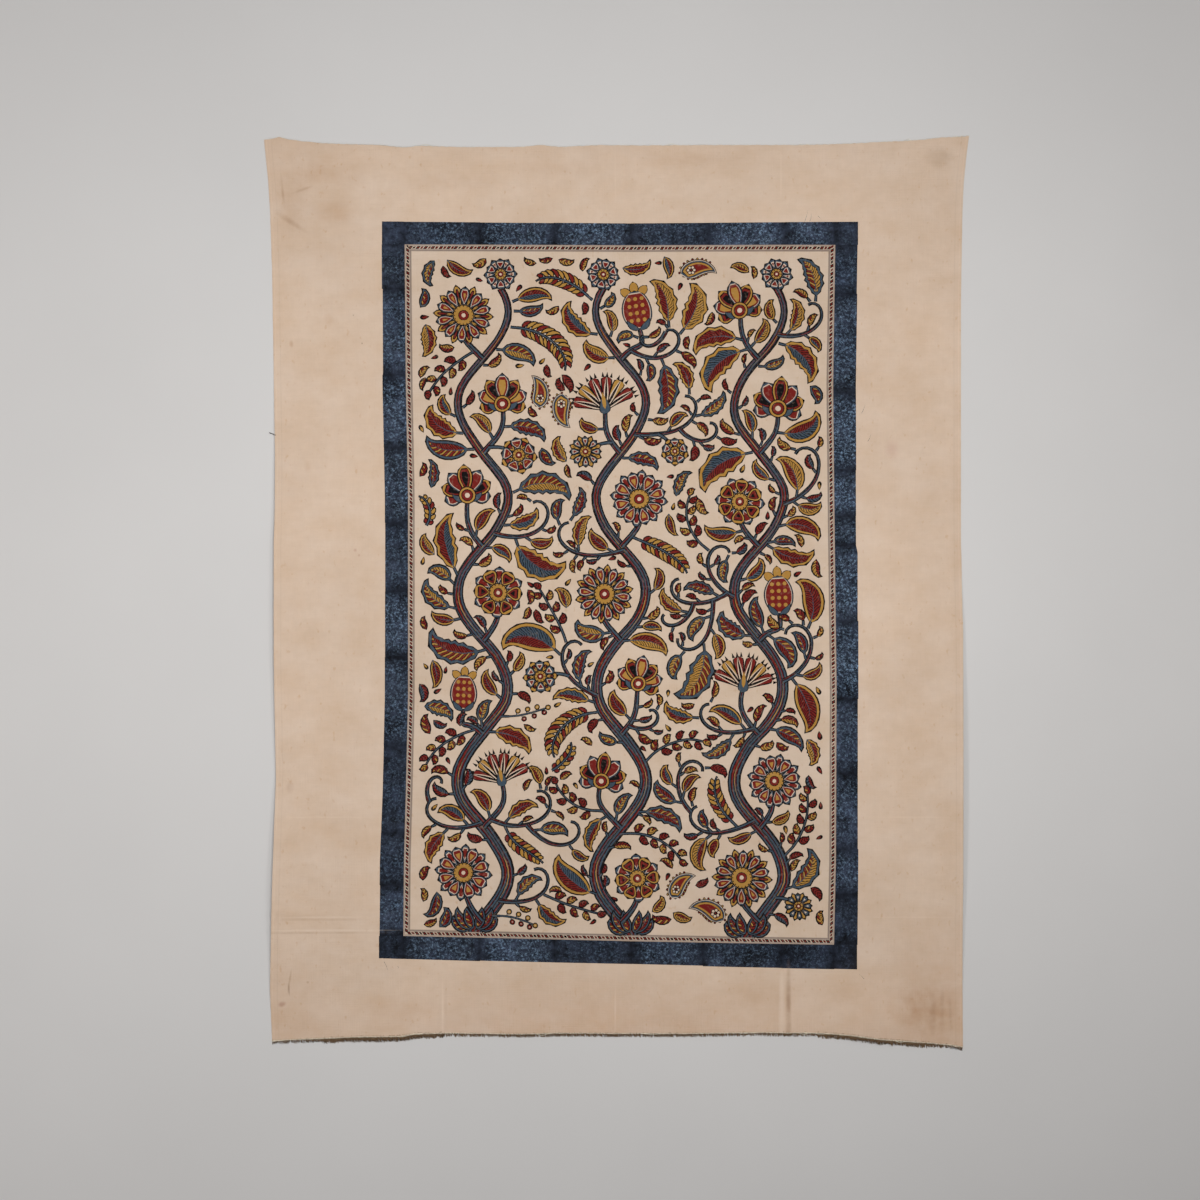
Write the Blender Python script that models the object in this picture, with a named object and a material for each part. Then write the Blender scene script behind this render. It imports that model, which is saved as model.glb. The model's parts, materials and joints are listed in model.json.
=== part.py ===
"""Kalamkari panel: one length of printed cotton, laid out flat on a surface.

Units are metres once built, and millimetres in the tables. X runs across the cloth from
selvedge to selvedge, Y runs up it from the lower torn end to the upper torn end, Z is up.
The cloth rests on Z = 0. The tables follow the outline, the raised edges and the fold
marks that the photo shows, at 1.6 mm for each of its pixels.
"""

import bpy
import bmesh

MM = 0.001

BOX_WIDTH = 1128.0  # across, over the two upper corners
BOX_LENGTH = 1458.0  # up, over the two right-hand corners
SHEET_THICKNESS = 1.2  # the cotton with its soft dents and slubs
WIDEST_STEP_ACROSS = 34.0  # spacing of the mesh lines where the cloth is flat
WIDEST_STEP_UP = 42.0

# Each edge as (distance along it, how far it stands in from the bounding rectangle).
# The selvedges are measured upwards, the torn ends from left to right.
LEFT_SELVEDGE = (
    # up, inset
    (9.6, 12.8), (91, 9.6), (163, 11.2), (235, 12.8), (283, 14.4), (379, 17.6), (427, 19.2),
    (523, 17.6), (619, 16.0), (811, 16.0), (859, 17.6), (955, 17.6), (1051, 16.0), (1147, 14.4),
    (1243, 12.8), (1291, 11.2), (1339, 9.6), (1387, 6.4), (1426, 2.4), (1451.6, 0.0),
)
RIGHT_SELVEDGE = (
    # up, inset
    (0, 9.6), (91, 10.4), (187, 10.4), (283, 9.6), (667, 9.6), (731, 11.2), (811, 12.8),
    (1195, 12.8), (1291, 11.2), (1339, 10.4), (1387, 8.0), (1426, 4.0), (1458, 0.0),
)
UPPER_END = (
    # along, inset
    (0, 6.4), (16, 4.0), (24, 1.6), (35, 4.8), (58, 8.0), (90, 11.2), (122, 12.8), (186, 14.4),
    (221, 18.5), (250, 16.0), (314, 17.6), (410, 17.6), (442, 14.4), (474, 17.6), (506, 16.0),
    (538, 14.4), (602, 15.2), (698, 14.4), (858, 14.4), (922, 12.8), (954, 11.2), (1018, 8.0),
    (1050, 6.4), (1082, 2.4), (1114, 1.6), (1128, 0.0),
)
LOWER_END = (
    # along, inset
    (12.8, 9.6), (35, 11.2), (90, 13.6), (154, 16.8), (218, 17.6), (242, 21.6), (298, 22.4),
    (410, 20.8), (474, 22.4), (666, 21.6), (794, 23.2), (890, 22.4), (938, 19.2), (986, 12.8),
    (1026, 9.6), (1066, 6.4), (1098, 3.2), (1118.4, 0.0),
)

# Where an edge stands off the surface: (edge, centre along it, half its length, how far in
# the lift reaches, height at the edge). The four corners touch the surface.
EDGE_LIFTS = (
    ("lower", 186, 130, 80, 4.6),
    ("lower", 985, 125, 90, 5.0),
    ("lower", 570, 500, 46, 1.8),
    ("left", 270, 240, 60, 5.6),
    ("left", 700, 420, 50, 4.4),
    ("right", 420, 390, 50, 5.2),
    ("upper", 230, 90, 26, 0.8),
)

# Fold marks along the grain: (the way it runs, its place as a share of the width or the
# length, where it starts and ends as shares of its own run, height, half its width).
FOLD_MARKS = (
    ("up", 0.745, 0.00, 0.100, 2.6, 11.0),
    ("up", 0.493, 0.00, 0.085, 1.0, 8.0),
    ("up", 0.249, 0.00, 0.070, 0.9, 8.0),
    ("across", 0.140, 0.00, 0.170, 1.0, 9.0),
    ("across", 0.122, 0.00, 0.150, 0.8, 8.0),
    ("across", 0.250, 0.20, 0.820, 0.7, 9.0),
)


def along(table, place):
    """The inset at a place along an edge, in straight steps between the table's rows."""
    if place <= table[0][0]:
        return table[0][1]
    for (low, inset_low), (high, inset_high) in zip(table, table[1:]):
        if place <= high:
            share = (place - low) / (high - low)
            return inset_low + share * (inset_high - inset_low)
    return table[-1][1]


def cloth_point(across, up):
    """The point in the box, in mm from its lower left corner, at these shares of the cloth."""
    x = across * BOX_WIDTH
    y = up * BOX_LENGTH
    for _ in range(6):
        low = along(LOWER_END, x)
        high = BOX_LENGTH - along(UPPER_END, x)
        y = low + up * (high - low)
        left = along(LEFT_SELVEDGE, y)
        right = BOX_WIDTH - along(RIGHT_SELVEDGE, y)
        x = left + across * (right - left)
    return x, y


def soft(distance, reach):
    """1 at no distance, falling smoothly to 0 at the reach."""
    if abs(distance) >= reach:
        return 0.0
    return (1.0 - (distance / reach) ** 2) ** 2


def lift(across, up):
    """How high the underside stands off the surface here, in mm."""
    x = across * BOX_WIDTH
    y = up * BOX_LENGTH
    inward = {"lower": y, "upper": BOX_LENGTH - y, "left": x, "right": BOX_WIDTH - x}
    run = {"lower": x, "upper": x, "left": y, "right": y}
    height = 0.0
    for edge, centre, half_length, reach, top in EDGE_LIFTS:
        rise = top * soft(run[edge] - centre, half_length) * soft(inward[edge], reach)
        height = max(height, rise)
    for way, place, start, end, top, half_width in FOLD_MARKS:
        if way == "up":
            aside, here = (across - place) * BOX_WIDTH, up
        else:
            aside, here = (up - place) * BOX_LENGTH, across
        middle = start if start == 0.0 else (start + end) / 2.0
        height += top * soft(aside, half_width) * soft(here - middle, end - middle)
    return height


def mesh_lines(size, widest, way, near_low, near_high):
    """Shares of the size at which mesh lines run: close by the edges and the fold marks."""
    places = {0.0, size}
    places.update(near_low)
    places.update(size - distance for distance in near_high)
    for fold_way, place, _, _, _, half_width in FOLD_MARKS:
        if fold_way == way:
            places.update(place * size + step * half_width for step in (-1.0, -0.45, 0.0, 0.45, 1.0))
    lines = []
    ordered = sorted(places)
    for low, high in zip(ordered, ordered[1:]):
        parts = max(1, round((high - low) / widest))
        lines.extend(low + (high - low) * part / parts for part in range(parts))
    lines.append(size)
    return [place / size for place in lines]


def build_cotton_panel():
    """The one solid: an upper face, an underside and the cut edge all round."""
    columns = mesh_lines(BOX_WIDTH, WIDEST_STEP_ACROSS, "up", (16, 34, 60), (16, 34))
    rows = mesh_lines(BOX_LENGTH, WIDEST_STEP_UP, "across", (18, 42, 84), (12, 30))
    bm = bmesh.new()
    under = []
    upper = []
    for up in rows:
        under_row = []
        upper_row = []
        for across in columns:
            x, y = cloth_point(across, up)
            z = lift(across, up)
            x -= BOX_WIDTH / 2.0
            y -= BOX_LENGTH / 2.0
            under_row.append(bm.verts.new((x * MM, y * MM, z * MM)))
            upper_row.append(bm.verts.new((x * MM, y * MM, (z + SHEET_THICKNESS) * MM)))
        under.append(under_row)
        upper.append(upper_row)
    last_row = len(rows) - 1
    last_column = len(columns) - 1
    for j in range(last_row):
        for i in range(last_column):
            bm.faces.new((upper[j][i], upper[j][i + 1], upper[j + 1][i + 1], upper[j + 1][i]))
            bm.faces.new((under[j][i], under[j + 1][i], under[j + 1][i + 1], under[j][i + 1]))
    rim = [(0, i) for i in range(last_column)]
    rim += [(j, last_column) for j in range(last_row)]
    rim += [(last_row, i) for i in range(last_column, 0, -1)]
    rim += [(j, 0) for j in range(last_row, 0, -1)]
    for (j, i), (next_j, next_i) in zip(rim, rim[1:] + rim[:1]):
        bm.faces.new((under[j][i], under[next_j][next_i], upper[next_j][next_i], upper[j][i]))
    bmesh.ops.triangulate(bm, faces=bm.faces[:], quad_method="FIXED")
    bmesh.ops.recalc_face_normals(bm, faces=bm.faces[:])
    mesh = bpy.data.meshes.new("cotton_panel")
    bm.to_mesh(mesh)
    bm.free()
    panel = bpy.data.objects.new("cotton_panel", mesh)
    bpy.context.scene.collection.objects.link(panel)
    cotton = bpy.data.materials.new("printed_cotton")
    cotton.diffuse_color = (0.60, 0.50, 0.40, 1.0)
    mesh.materials.append(cotton)
    return panel


def main():
    for old in list(bpy.data.objects):
        bpy.data.objects.remove(old, do_unlink=True)
    build_cotton_panel()


main()
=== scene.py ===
"""Kalamkari panel, dressed: one length of printed cotton lying on a pale surface.

Lengths in the tables are millimetres, measured from the middle of the cloth's bounding
rectangle, X to the right and Y up the picture. The mesh is in metres.
"""

import json
import math
import random

import bpy
import numpy as np
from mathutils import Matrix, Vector, noise
from mathutils.geometry import delaunay_2d_cdt

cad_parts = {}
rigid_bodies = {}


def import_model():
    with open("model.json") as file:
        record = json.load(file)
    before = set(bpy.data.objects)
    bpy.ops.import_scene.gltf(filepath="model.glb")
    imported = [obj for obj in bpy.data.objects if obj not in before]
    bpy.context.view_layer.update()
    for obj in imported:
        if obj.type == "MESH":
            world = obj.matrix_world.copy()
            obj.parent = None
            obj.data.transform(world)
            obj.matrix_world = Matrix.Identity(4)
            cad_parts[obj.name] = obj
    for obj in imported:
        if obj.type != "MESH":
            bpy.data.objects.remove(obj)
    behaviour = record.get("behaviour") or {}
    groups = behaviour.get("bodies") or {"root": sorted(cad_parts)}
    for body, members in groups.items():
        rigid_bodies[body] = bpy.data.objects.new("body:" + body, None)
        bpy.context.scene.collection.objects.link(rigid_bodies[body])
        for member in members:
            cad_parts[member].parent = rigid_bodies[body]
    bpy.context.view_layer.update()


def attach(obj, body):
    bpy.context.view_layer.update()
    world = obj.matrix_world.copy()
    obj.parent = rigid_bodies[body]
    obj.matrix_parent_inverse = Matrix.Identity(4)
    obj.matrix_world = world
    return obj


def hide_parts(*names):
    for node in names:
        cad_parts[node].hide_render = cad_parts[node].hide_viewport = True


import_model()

MM = 0.001

# The cloth's outline, as in the part's source.
BOX_WIDTH = 1128.0
BOX_LENGTH = 1458.0
CAD_THICKNESS = 1.2
EDGE_THICKNESS = 0.5  # the cotton thins to this at its edges, where it shows
EDGE_MARGIN = 16.0  # how far in from its edges it thins
SWELL_ACROSS, SWELL_UP = 95.0, 120.0  # the size of the soft swells in its face

LEFT_SELVEDGE = (
    # up, inset
    (9.6, 12.8), (91, 9.6), (163, 11.2), (235, 12.8), (283, 14.4), (379, 17.6), (427, 19.2),
    (523, 17.6), (619, 16.0), (811, 16.0), (859, 17.6), (955, 17.6), (1051, 16.0), (1147, 14.4),
    (1243, 12.8), (1291, 11.2), (1339, 9.6), (1387, 6.4), (1426, 2.4), (1451.6, 0.0),
)
RIGHT_SELVEDGE = (
    # up, inset
    (0, 9.6), (91, 10.4), (187, 10.4), (283, 9.6), (667, 9.6), (731, 11.2), (811, 12.8),
    (1195, 12.8), (1291, 11.2), (1339, 10.4), (1387, 8.0), (1426, 4.0), (1458, 0.0),
)
UPPER_END = (
    # along, inset
    (0, 6.4), (16, 4.0), (24, 1.6), (35, 4.8), (58, 8.0), (90, 11.2), (122, 12.8), (186, 14.4),
    (221, 18.5), (250, 16.0), (314, 17.6), (410, 17.6), (442, 14.4), (474, 17.6), (506, 16.0),
    (538, 14.4), (602, 15.2), (698, 14.4), (858, 14.4), (922, 12.8), (954, 11.2), (1018, 8.0),
    (1050, 6.4), (1082, 2.4), (1114, 1.6), (1128, 0.0),
)
LOWER_END = (
    # along, inset
    (12.8, 9.6), (35, 11.2), (90, 13.6), (154, 16.8), (218, 17.6), (242, 21.6), (298, 22.4),
    (410, 20.8), (474, 22.4), (666, 21.6), (794, 23.2), (890, 22.4), (938, 19.2), (986, 12.8),
    (1026, 9.6), (1066, 6.4), (1098, 3.2), (1118.4, 0.0),
)
EDGE_LIFTS = (
    # edge, centre along it, half its length, how far in it reaches, height at the edge
    ("lower", 186, 130, 80, 4.6),
    ("lower", 985, 125, 90, 5.0),
    ("lower", 570, 500, 46, 1.8),
    ("left", 270, 240, 60, 5.6),
    ("left", 700, 420, 50, 4.4),
    ("right", 420, 390, 50, 5.2),
    ("upper", 230, 90, 26, 0.8),
)
FOLD_MARKS = (
    # way, place as a share, start and end as shares of its run, height, half its width
    ("up", 0.745, 0.00, 0.100, 2.6, 11.0),
    ("up", 0.493, 0.00, 0.085, 1.0, 8.0),
    ("up", 0.249, 0.00, 0.070, 0.9, 8.0),
    ("across", 0.140, 0.00, 0.170, 1.0, 9.0),
    ("across", 0.122, 0.00, 0.150, 0.8, 8.0),
    ("across", 0.250, 0.20, 0.820, 0.7, 9.0),
)

# Dyes on the face of the cloth, as sRGB.
DYES = {
    "cotton": "D0BBA8",
    "field": "CAB7A5",
    "black": "110D0E",
    "madder": "6E1F1B",
    "ochre": "A67E3D",
    "slate": "3D4C5A",
    "guard": "A39387",
    "indigo": "29303F",
}
REVERSE_SHOWS = 0.45  # share of a dye that strikes through to the back

# The printed frame: corners and the middle of each side, outer and inner edge.
FRAME_OUTER = {
    "lower": ((-380.0, -586.5), (-227.0, -591.0), (-100.0, -594.0), (26.0, -596.5),
              (190.0, -600.5), (384.8, -604.5)),
    "right": ((384.8, -604.5), (386.4, -430.0), (386.4, -150.0), (386.4, 72.0), (383.8, 74.0),
              (383.2, 150.0), (382.4, 330.0), (386.4, 591.2)),
    "upper": ((386.4, 591.2), (250.0, 590.6), (25.0, 588.8), (-150.0, 590.4), (-375.2, 592.0)),
    "left": ((-375.2, 592.0), (-374.0, 330.0), (-370.4, 150.0), (-370.4, -170.0),
             (-374.0, -320.0), (-378.4, -430.0), (-380.0, -586.5)),
}
FRAME_INNER = {
    "lower": ((-341.0, -551.0), (-227.0, -553.5), (-100.0, -556.5), (26.0, -559.5),
              (190.0, -562.5), (348.0, -565.0)),
    "right": ((348.0, -565.0), (351.0, -430.0), (352.0, -150.0), (349.0, 90.0), (346.5, 330.0),
              (350.0, 554.5)),
    "upper": ((350.0, 554.5), (250.0, 554.6), (25.0, 553.8), (-150.0, 554.6), (-339.0, 555.2)),
    "left": ((-339.0, 555.2), (-337.0, 330.0), (-333.5, 150.0), (-333.5, -170.0),
             (-337.0, -320.0), (-340.0, -430.0), (-341.0, -551.0)),
}


def part_way(start, stop, share):
    """The value at this share of the way from start to stop."""
    return start + (stop - start) * share


def along(table, place):
    """The inset at a place along an edge, in straight steps between the table's rows."""
    if place <= table[0][0]:
        return table[0][1]
    for (low, inset_low), (high, inset_high) in zip(table, table[1:]):
        if place <= high:
            return part_way(inset_low, inset_high, (place - low) / (high - low))
    return table[-1][1]


def soft(distance, reach):
    """1 at no distance, falling smoothly to 0 at the reach."""
    if abs(distance) >= reach:
        return 0.0
    return (1.0 - (distance / reach) ** 2) ** 2


def edge_distances(x, y):
    """How far a point is inside each edge, and its shares of the cloth across and up."""
    x += BOX_WIDTH / 2.0
    y += BOX_LENGTH / 2.0
    left = along(LEFT_SELVEDGE, y)
    right = BOX_WIDTH - along(RIGHT_SELVEDGE, y)
    low = along(LOWER_END, x)
    high = BOX_LENGTH - along(UPPER_END, x)
    inward = {"left": x - left, "right": right - x, "lower": y - low, "upper": high - y}
    return inward, (x - left) / (right - left), (y - low) / (high - low)


def cloth_heights(x, y):
    """The underside's and the face's height above the surface here, in mm."""
    inward, across, up = edge_distances(x, y)
    run = {"lower": across * BOX_WIDTH, "upper": across * BOX_WIDTH}
    run["left"] = run["right"] = up * BOX_LENGTH
    under = 0.0
    for edge, centre, half_length, reach, top in EDGE_LIFTS:
        rise = top * soft(run[edge] - centre, half_length) * soft(inward[edge], reach)
        under = max(under, rise)
    for way, place, start, end, top, half_width in FOLD_MARKS:
        if way == "up":
            aside, here = (across - place) * BOX_WIDTH, up
        else:
            aside, here = (up - place) * BOX_LENGTH, across
        middle = start if start == 0.0 else (start + end) / 2.0
        under += top * soft(aside, half_width) * soft(here - middle, end - middle)
    inside = max(0.0, min(1.0, min(inward.values()) / EDGE_MARGIN))
    ripple = 0.5 + 0.5 * noise.noise(Vector((x / SWELL_ACROSS, y / SWELL_UP, 4.0)))
    thick = EDGE_THICKNESS + (CAD_THICKNESS - EDGE_THICKNESS) * inside * (0.72 + 0.28 * ripple)
    return under, under + thick


# The print. Each mark is (dye, corners in mm, grain), laid down in order, later ones on top.
# A dye is a name in the table above, or such a name and a tone that makes it lighter or darker.
# A grain is (kind, curve): the material draws veins or bark along the curve. A block's grain is
# (kind, axis, start, stop, depth and speckle at its start, the same at its stop).
marks = []
hand = random.Random(61)
VEINS, STRIPES, BARK, BLOCK = 1.0, 2.0, 3.0, 4.0
LEAST_SIZE = 0.5  # square mm, twice the area of the smallest patch that is kept


def signed_size(corners):
    """Twice the area inside these corners, above zero if they run counter-clockwise."""
    ring = corners[1:] + corners[:1]
    return sum(ax * by - bx * ay for (ax, ay), (bx, by) in zip(corners, ring))


def mark(dye, corners, grain=None):
    """Adds one patch of dye, given by its corners in turn, unless it has no size."""
    if abs(signed_size(corners)) > LEAST_SIZE:
        marks.append((dye, corners, grain))


def beyond(x, y, heading, distance):
    """The point at a distance from (x, y), on a heading in degrees."""
    angle = math.radians(heading)
    return x + distance * math.cos(angle), y + distance * math.sin(angle)


def disc(dye, x, y, radius, sides):
    """A round patch of dye, turned at random."""
    turn = hand.uniform(0, 360)
    mark(dye, [beyond(x, y, turn + 360 * k / sides, radius) for k in range(sides)])


def bent(x, y, heading, length, bend, steps=16, curl=0.0):
    """A curve from (x, y), as points: it turns by bend along its length and by curl at its tip."""
    points = [(x, y)]
    for k in range(steps):
        share = (k + 0.5) / steps
        points.append(beyond(*points[-1], heading + bend * share + curl * share ** 4, length / steps))
    return points


def arc_between(start, start_heading, stop, stop_heading, pull, steps=18):
    """A smooth curve that leaves and arrives on the given headings in degrees."""
    first = beyond(*start, start_heading, pull)
    second = beyond(*stop, stop_heading, -pull)
    path = []
    for k in range(steps + 1):
        t = k / steps
        path.append(tuple(
            (1 - t) ** 3 * p + 3 * t * (1 - t) ** 2 * q + 3 * t * t * (1 - t) * r + t ** 3 * s
            for p, q, r, s in zip(start, first, second, stop)))
    return path


def on_curve(curve, share):
    """The point on a curve at a share of its length, and the unit vector to its left there."""
    place = max(0.0, min(0.99999, share)) * (len(curve) - 1)
    k = int(place)
    (ax, ay), (bx, by) = curve[k], curve[k + 1]
    size = math.hypot(bx - ax, by - ay) or 1.0
    part = place - k
    return (ax + (bx - ax) * part, ay + (by - ay) * part), (-(by - ay) / size, (bx - ax) / size)


def off_curve(curve, share, distance):
    """The point this far to the left of a curve, at a share of its length."""
    (x, y), (nx, ny) = on_curve(curve, share)
    return x + nx * distance, y + ny * distance


def heading_at(curve, share):
    """A curve's heading at a share of its length, in degrees."""
    _, (nx, ny) = on_curve(curve, share)
    return math.degrees(math.atan2(-nx, ny))


def patch_along(dye, curve, rows, grain=0):
    """A patch along a curve. A row is a share of the curve and how far left the two sides are."""
    first = [off_curve(curve, t, near) for t, near, _ in rows]
    second = [off_curve(curve, t, far) for t, _, far in rows]
    mark(dye, first + second[::-1], (grain, curve) if grain else None)


def drop_width(t):
    """How wide a drop is along its length: round at its base, drawn out to its tip."""
    if t < 0.3:
        return math.sqrt(max(0.0, 1 - (1 - t / 0.3) ** 2))
    return math.cos(math.pi / 2 * (t - 0.3) / 0.7) ** 0.9


WIDTHS = {
    # how wide a shape is along its length, from 0 to 1 of its half width
    "leaf": lambda t: math.sin(math.pi * t ** 0.8) ** 0.85,
    "petal": lambda t: math.sin(math.pi * min(1.0, t) ** 1.5) ** 0.7,
    "fan": lambda t: (0.25 + 0.75 * t) * math.sqrt(max(0.0, 1 - max(0.0, (t - 0.8) / 0.2) ** 2)),
    "drop": drop_width,
    "fruit": lambda t: math.sqrt(max(0.0, 1 - (2 * t - 1) ** 2)) * (1.0 - 0.12 * t),
    "taper": lambda t: 1.0 - 0.75 * t,
}


def blade(dye, curve, length, half_width, shape, inset=0.0, side="both", steps=8, lobes=0, grain=0):
    """Dye along a curve, as wide as the shape says, drawn in from its outline by the inset."""
    start = 1.2 * inset / length
    stop = 1.0 - 1.7 * inset / length
    if stop <= start or WIDTHS[shape](0.5) * half_width <= inset:
        return
    rows = []
    for k in range(steps + 1):
        t = start + (stop - start) * k / steps
        wide = half_width * max(0.0, WIDTHS[shape](t))
        if lobes:
            wide *= 0.80 + 0.20 * abs(math.sin(math.pi * lobes * t))
        wide = max(0.0, wide - inset)
        rows.append((t, wide if side != "right" else 0.0, -wide if side != "left" else 0.0))
    patch_along(dye, curve, rows, grain)


def leaf(x, y, heading, length, width, bend, lobes, dyes, curl):
    """A leaf: a dark outline, a rim in one dye and a veined middle, one dye to each side."""
    curve = bent(x, y, heading, length, bend, curl=curl)
    half = width / 2.0 + 0.8
    steps = lobes * 2 if lobes else 4 + int(length / 14)
    blade("black", curve, length, half, "leaf", 0.0, steps=steps, lobes=lobes)
    inset = 2.4
    if width > 15:
        rim = "ochre" if dyes[0] == "madder" else "slate"
        blade(rim, curve, length, half, "leaf", inset, steps=steps, lobes=lobes)
        inset += 0.10 * width
        blade("black", curve, length, half, "leaf", inset, steps=steps, lobes=lobes)
        inset += 0.9
    grain = STRIPES if dyes[0] == "ochre" else VEINS
    blade(dyes[0], curve, length, half, "leaf", inset, "left", steps=steps, lobes=lobes, grain=grain)
    blade(dyes[1], curve, length, half, "leaf", inset, "right", steps=steps, lobes=lobes, grain=VEINS)
    if length > 40:
        blade("slate", curve, length, 1.3, "taper", 0.4, steps=4)


def layered(layers, curve, length, half_width, shape, steps=8):
    """Layers of dye along a curve, each drawn in a little more than the one under it."""
    for dye, inset in layers:
        blade(dye, curve, length, half_width, shape, inset, steps=steps)


def petal(x, y, heading, length, width, layers, bend=0.0):
    """One petal, in layers of dye."""
    curve = bent(x, y, heading, length, bend, 8)
    layered(layers, curve, length, width / 2.0, "petal", 4 if length < 24 else 6)


RED_PETAL = (("black", 0.0), ("slate", 2.1), ("field", 3.4), ("madder", 4.2), ("ochre", 7.0))
OCHRE_PETAL = (("black", 0.0), ("ochre", 2.2), ("black", 4.4), ("madder", 5.6), ("black", 7.8))
SLATE_PETAL = (("black", 0.0), ("slate", 2.2), ("field", 4.0), ("madder", 5.0))
PAISLEY_LAYERS = (("black", 0.0), ("field", 1.4), ("slate", 2.4), ("black", 4.4), ("ochre", 5.4),
                  ("madder", 8.2))


def rosette(x, y, radius, petals, turn, first, second):
    """A round flower: two rings of petals, then rings and dots at its heart."""
    wide = 2.25 * math.pi * radius * 0.5 / petals
    for layers, reach, offset, fullness in ((second, 1.0, 0.5, 0.8), (first, 0.93, 0.0, 1.0)):
        for k in range(petals):
            heading = turn + 360.0 * (k + offset) / petals
            base = beyond(x, y, heading, radius * 0.24)
            petal(*base, heading, radius * (reach - 0.24), wide * fullness, layers)
    heart(x, y, radius * 0.36)


def heart(x, y, radius):
    """A flower's heart: rings and a circle of dots."""
    disc("black", x, y, radius, 14)
    disc("ochre", x, y, radius - 1.8, 14)
    count = max(6, int(radius * 0.9))
    for k in range(count):
        disc("black", *beyond(x, y, 360.0 * k / count, radius - 3.2), 1.1, 5)
    if radius > 7:
        disc("black", x, y, radius * 0.50, 12)
        disc("madder", x, y, radius * 0.50 - 1.1, 12)
        disc("field", x, y, radius * 0.20, 7)


def palmette(x, y, heading, size, first, second):
    """A flower seen from the side: a fan of petals over a scaled cup with two curled sepals."""
    fan = ((82, 0.74), (-82, 0.74), (54, 0.88), (-54, 0.88), (27, 0.97), (-27, 0.97), (0, 1.06))
    for spread, share in fan:
        layers = first if int(abs(spread) / 27) % 2 == 0 else second
        petal(x, y, heading + spread, size * share, size * 0.50, layers, spread * 0.28)
    for way in (1, -1):
        curve = bent(x, y, heading + way * 118, size * 0.55, -way * 95)
        layered((("black", 0.0), ("slate", 1.2)), curve, size * 0.55, size * 0.11, "leaf")
    middle = beyond(x, y, heading, size * 0.08)
    eye = (("black", 0.50), ("ochre", 0.44), ("black", 0.34), ("madder", 0.29), ("field", 0.14))
    for dye, share in eye:
        disc(dye, *middle, size * share * 0.56, 14)


def carnation(x, y, heading, size):
    """A fan of toothed petals over a narrow cup."""
    for spread in (64, -64, 38, -38, 13, -13):
        dye = "madder" if abs(spread) != 38 else "ochre"
        curve = bent(x, y, heading + spread, size, spread * 0.1, 8)
        layered((("black", 0.0), (dye, 2.0)), curve, size, size * 0.21, "fan", 9)
        blade("field", curve, size * 0.94, size * 0.07, "leaf", 0.0, steps=6)
        blade("black", curve, size * 0.88, size * 0.035, "leaf", 0.0, steps=5)
        for k in (-1, 0, 1):
            tooth = heading + spread * 1.1 + k * 7.5
            sides = [beyond(x, y, tooth + math.degrees(way * 0.05), size * 0.95) for way in (1, -1)]
            mark("black", [beyond(x, y, tooth, size * 1.12)] + sides)
    cup = bent(*beyond(x, y, heading + 180, size * 0.16), heading, size * 0.58, 0, 6)
    layered((("black", 0.0), ("slate", 1.3)), cup, size * 0.58, size * 0.17, "drop")
    rib = bent(x, y, heading, size * 0.5, 0, 6)
    blade("ochre", rib, size * 0.4, size * 0.06, "leaf", 0.0, steps=5)


def pomegranate(x, y, heading, size):
    """A round fruit with rows of seeds and a small crown."""
    curve = bent(x, y, heading, size, 0, 10)
    crown, _ = on_curve(curve, 0.78)
    for spread in (48, -48, 0):
        petal(*crown, heading + spread, size * 0.46, size * 0.24, (("black", 0.0), ("ochre", 1.3)))
    rind = (("black", 0.0), ("slate", 1.3), ("field", 2.5), ("madder", 3.4))
    layered(rind, curve, size, size * 0.40, "fruit", 10)
    rows = 4 if size > 40 else 3
    for k in range(rows):
        for way in (-1, 0, 1):
            seed = off_curve(curve, 0.24 + 0.54 * k / (rows - 1), way * size * 0.16)
            disc("ochre", *seed, size * 0.045 + 0.6, 6)
    for way in (1, -1):
        sepal = bent(x, y, heading + way * 75, size * 0.42, -way * 60, 6)
        blade("black", sepal, size * 0.42, size * 0.08, "leaf", 0.0, steps=6)
        blade("slate", sepal, size * 0.42, size * 0.08, "leaf", 1.2, steps=5)


def frond(x, y, heading, length, bend, curl):
    """A fern: paired leaflets along a bent rib."""
    curve = bent(x, y, heading, length, bend, 20, curl)
    pairs = int(length / 8.5)
    for k in range(pairs):
        t = 0.06 + 0.88 * k / pairs
        rib, _ = on_curve(curve, t)
        long = length * 0.27 * math.sin(math.pi * (0.22 + 0.74 * t)) ** 0.8
        for way in (1, -1):
            leaflet = bent(*rib, heading_at(curve, t) + way * 62, long, -way * 45, 6, -way * 60)
            blade("black", leaflet, long, 4.3, "leaf", 0.0, steps=5)
            blade("ochre" if k % 3 else "madder", leaflet, long, 4.3, "leaf", 1.9, steps=4)
    stroke(curve, 2.4, 0.8, 1.5)


def twig(x, y, heading, length, bend):
    """A thin bent stem with leaflets to each side by turns and one at its tip."""
    curve = bent(x, y, heading, length, bend, 14)
    stroke(curve, 2.0, 1.0, 1.5)
    count = max(3, round(length / 11.5))
    for k in range(count + 1):
        t = 0.12 + 0.86 * k / count
        way = (1, -1)[k % 2]
        spread = way * (62 if k < count else 0)
        dyes = (("ochre", "madder"), ("madder", "madder"), ("ochre", "ochre"))[k % 3]
        leaf(*off_curve(curve, t, way * 1.6), heading_at(curve, t) + spread,
             22.5 - 4.0 * t, 12.5 - 1.6 * t, -way * 38, 0, dyes, -way * 50)


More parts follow.
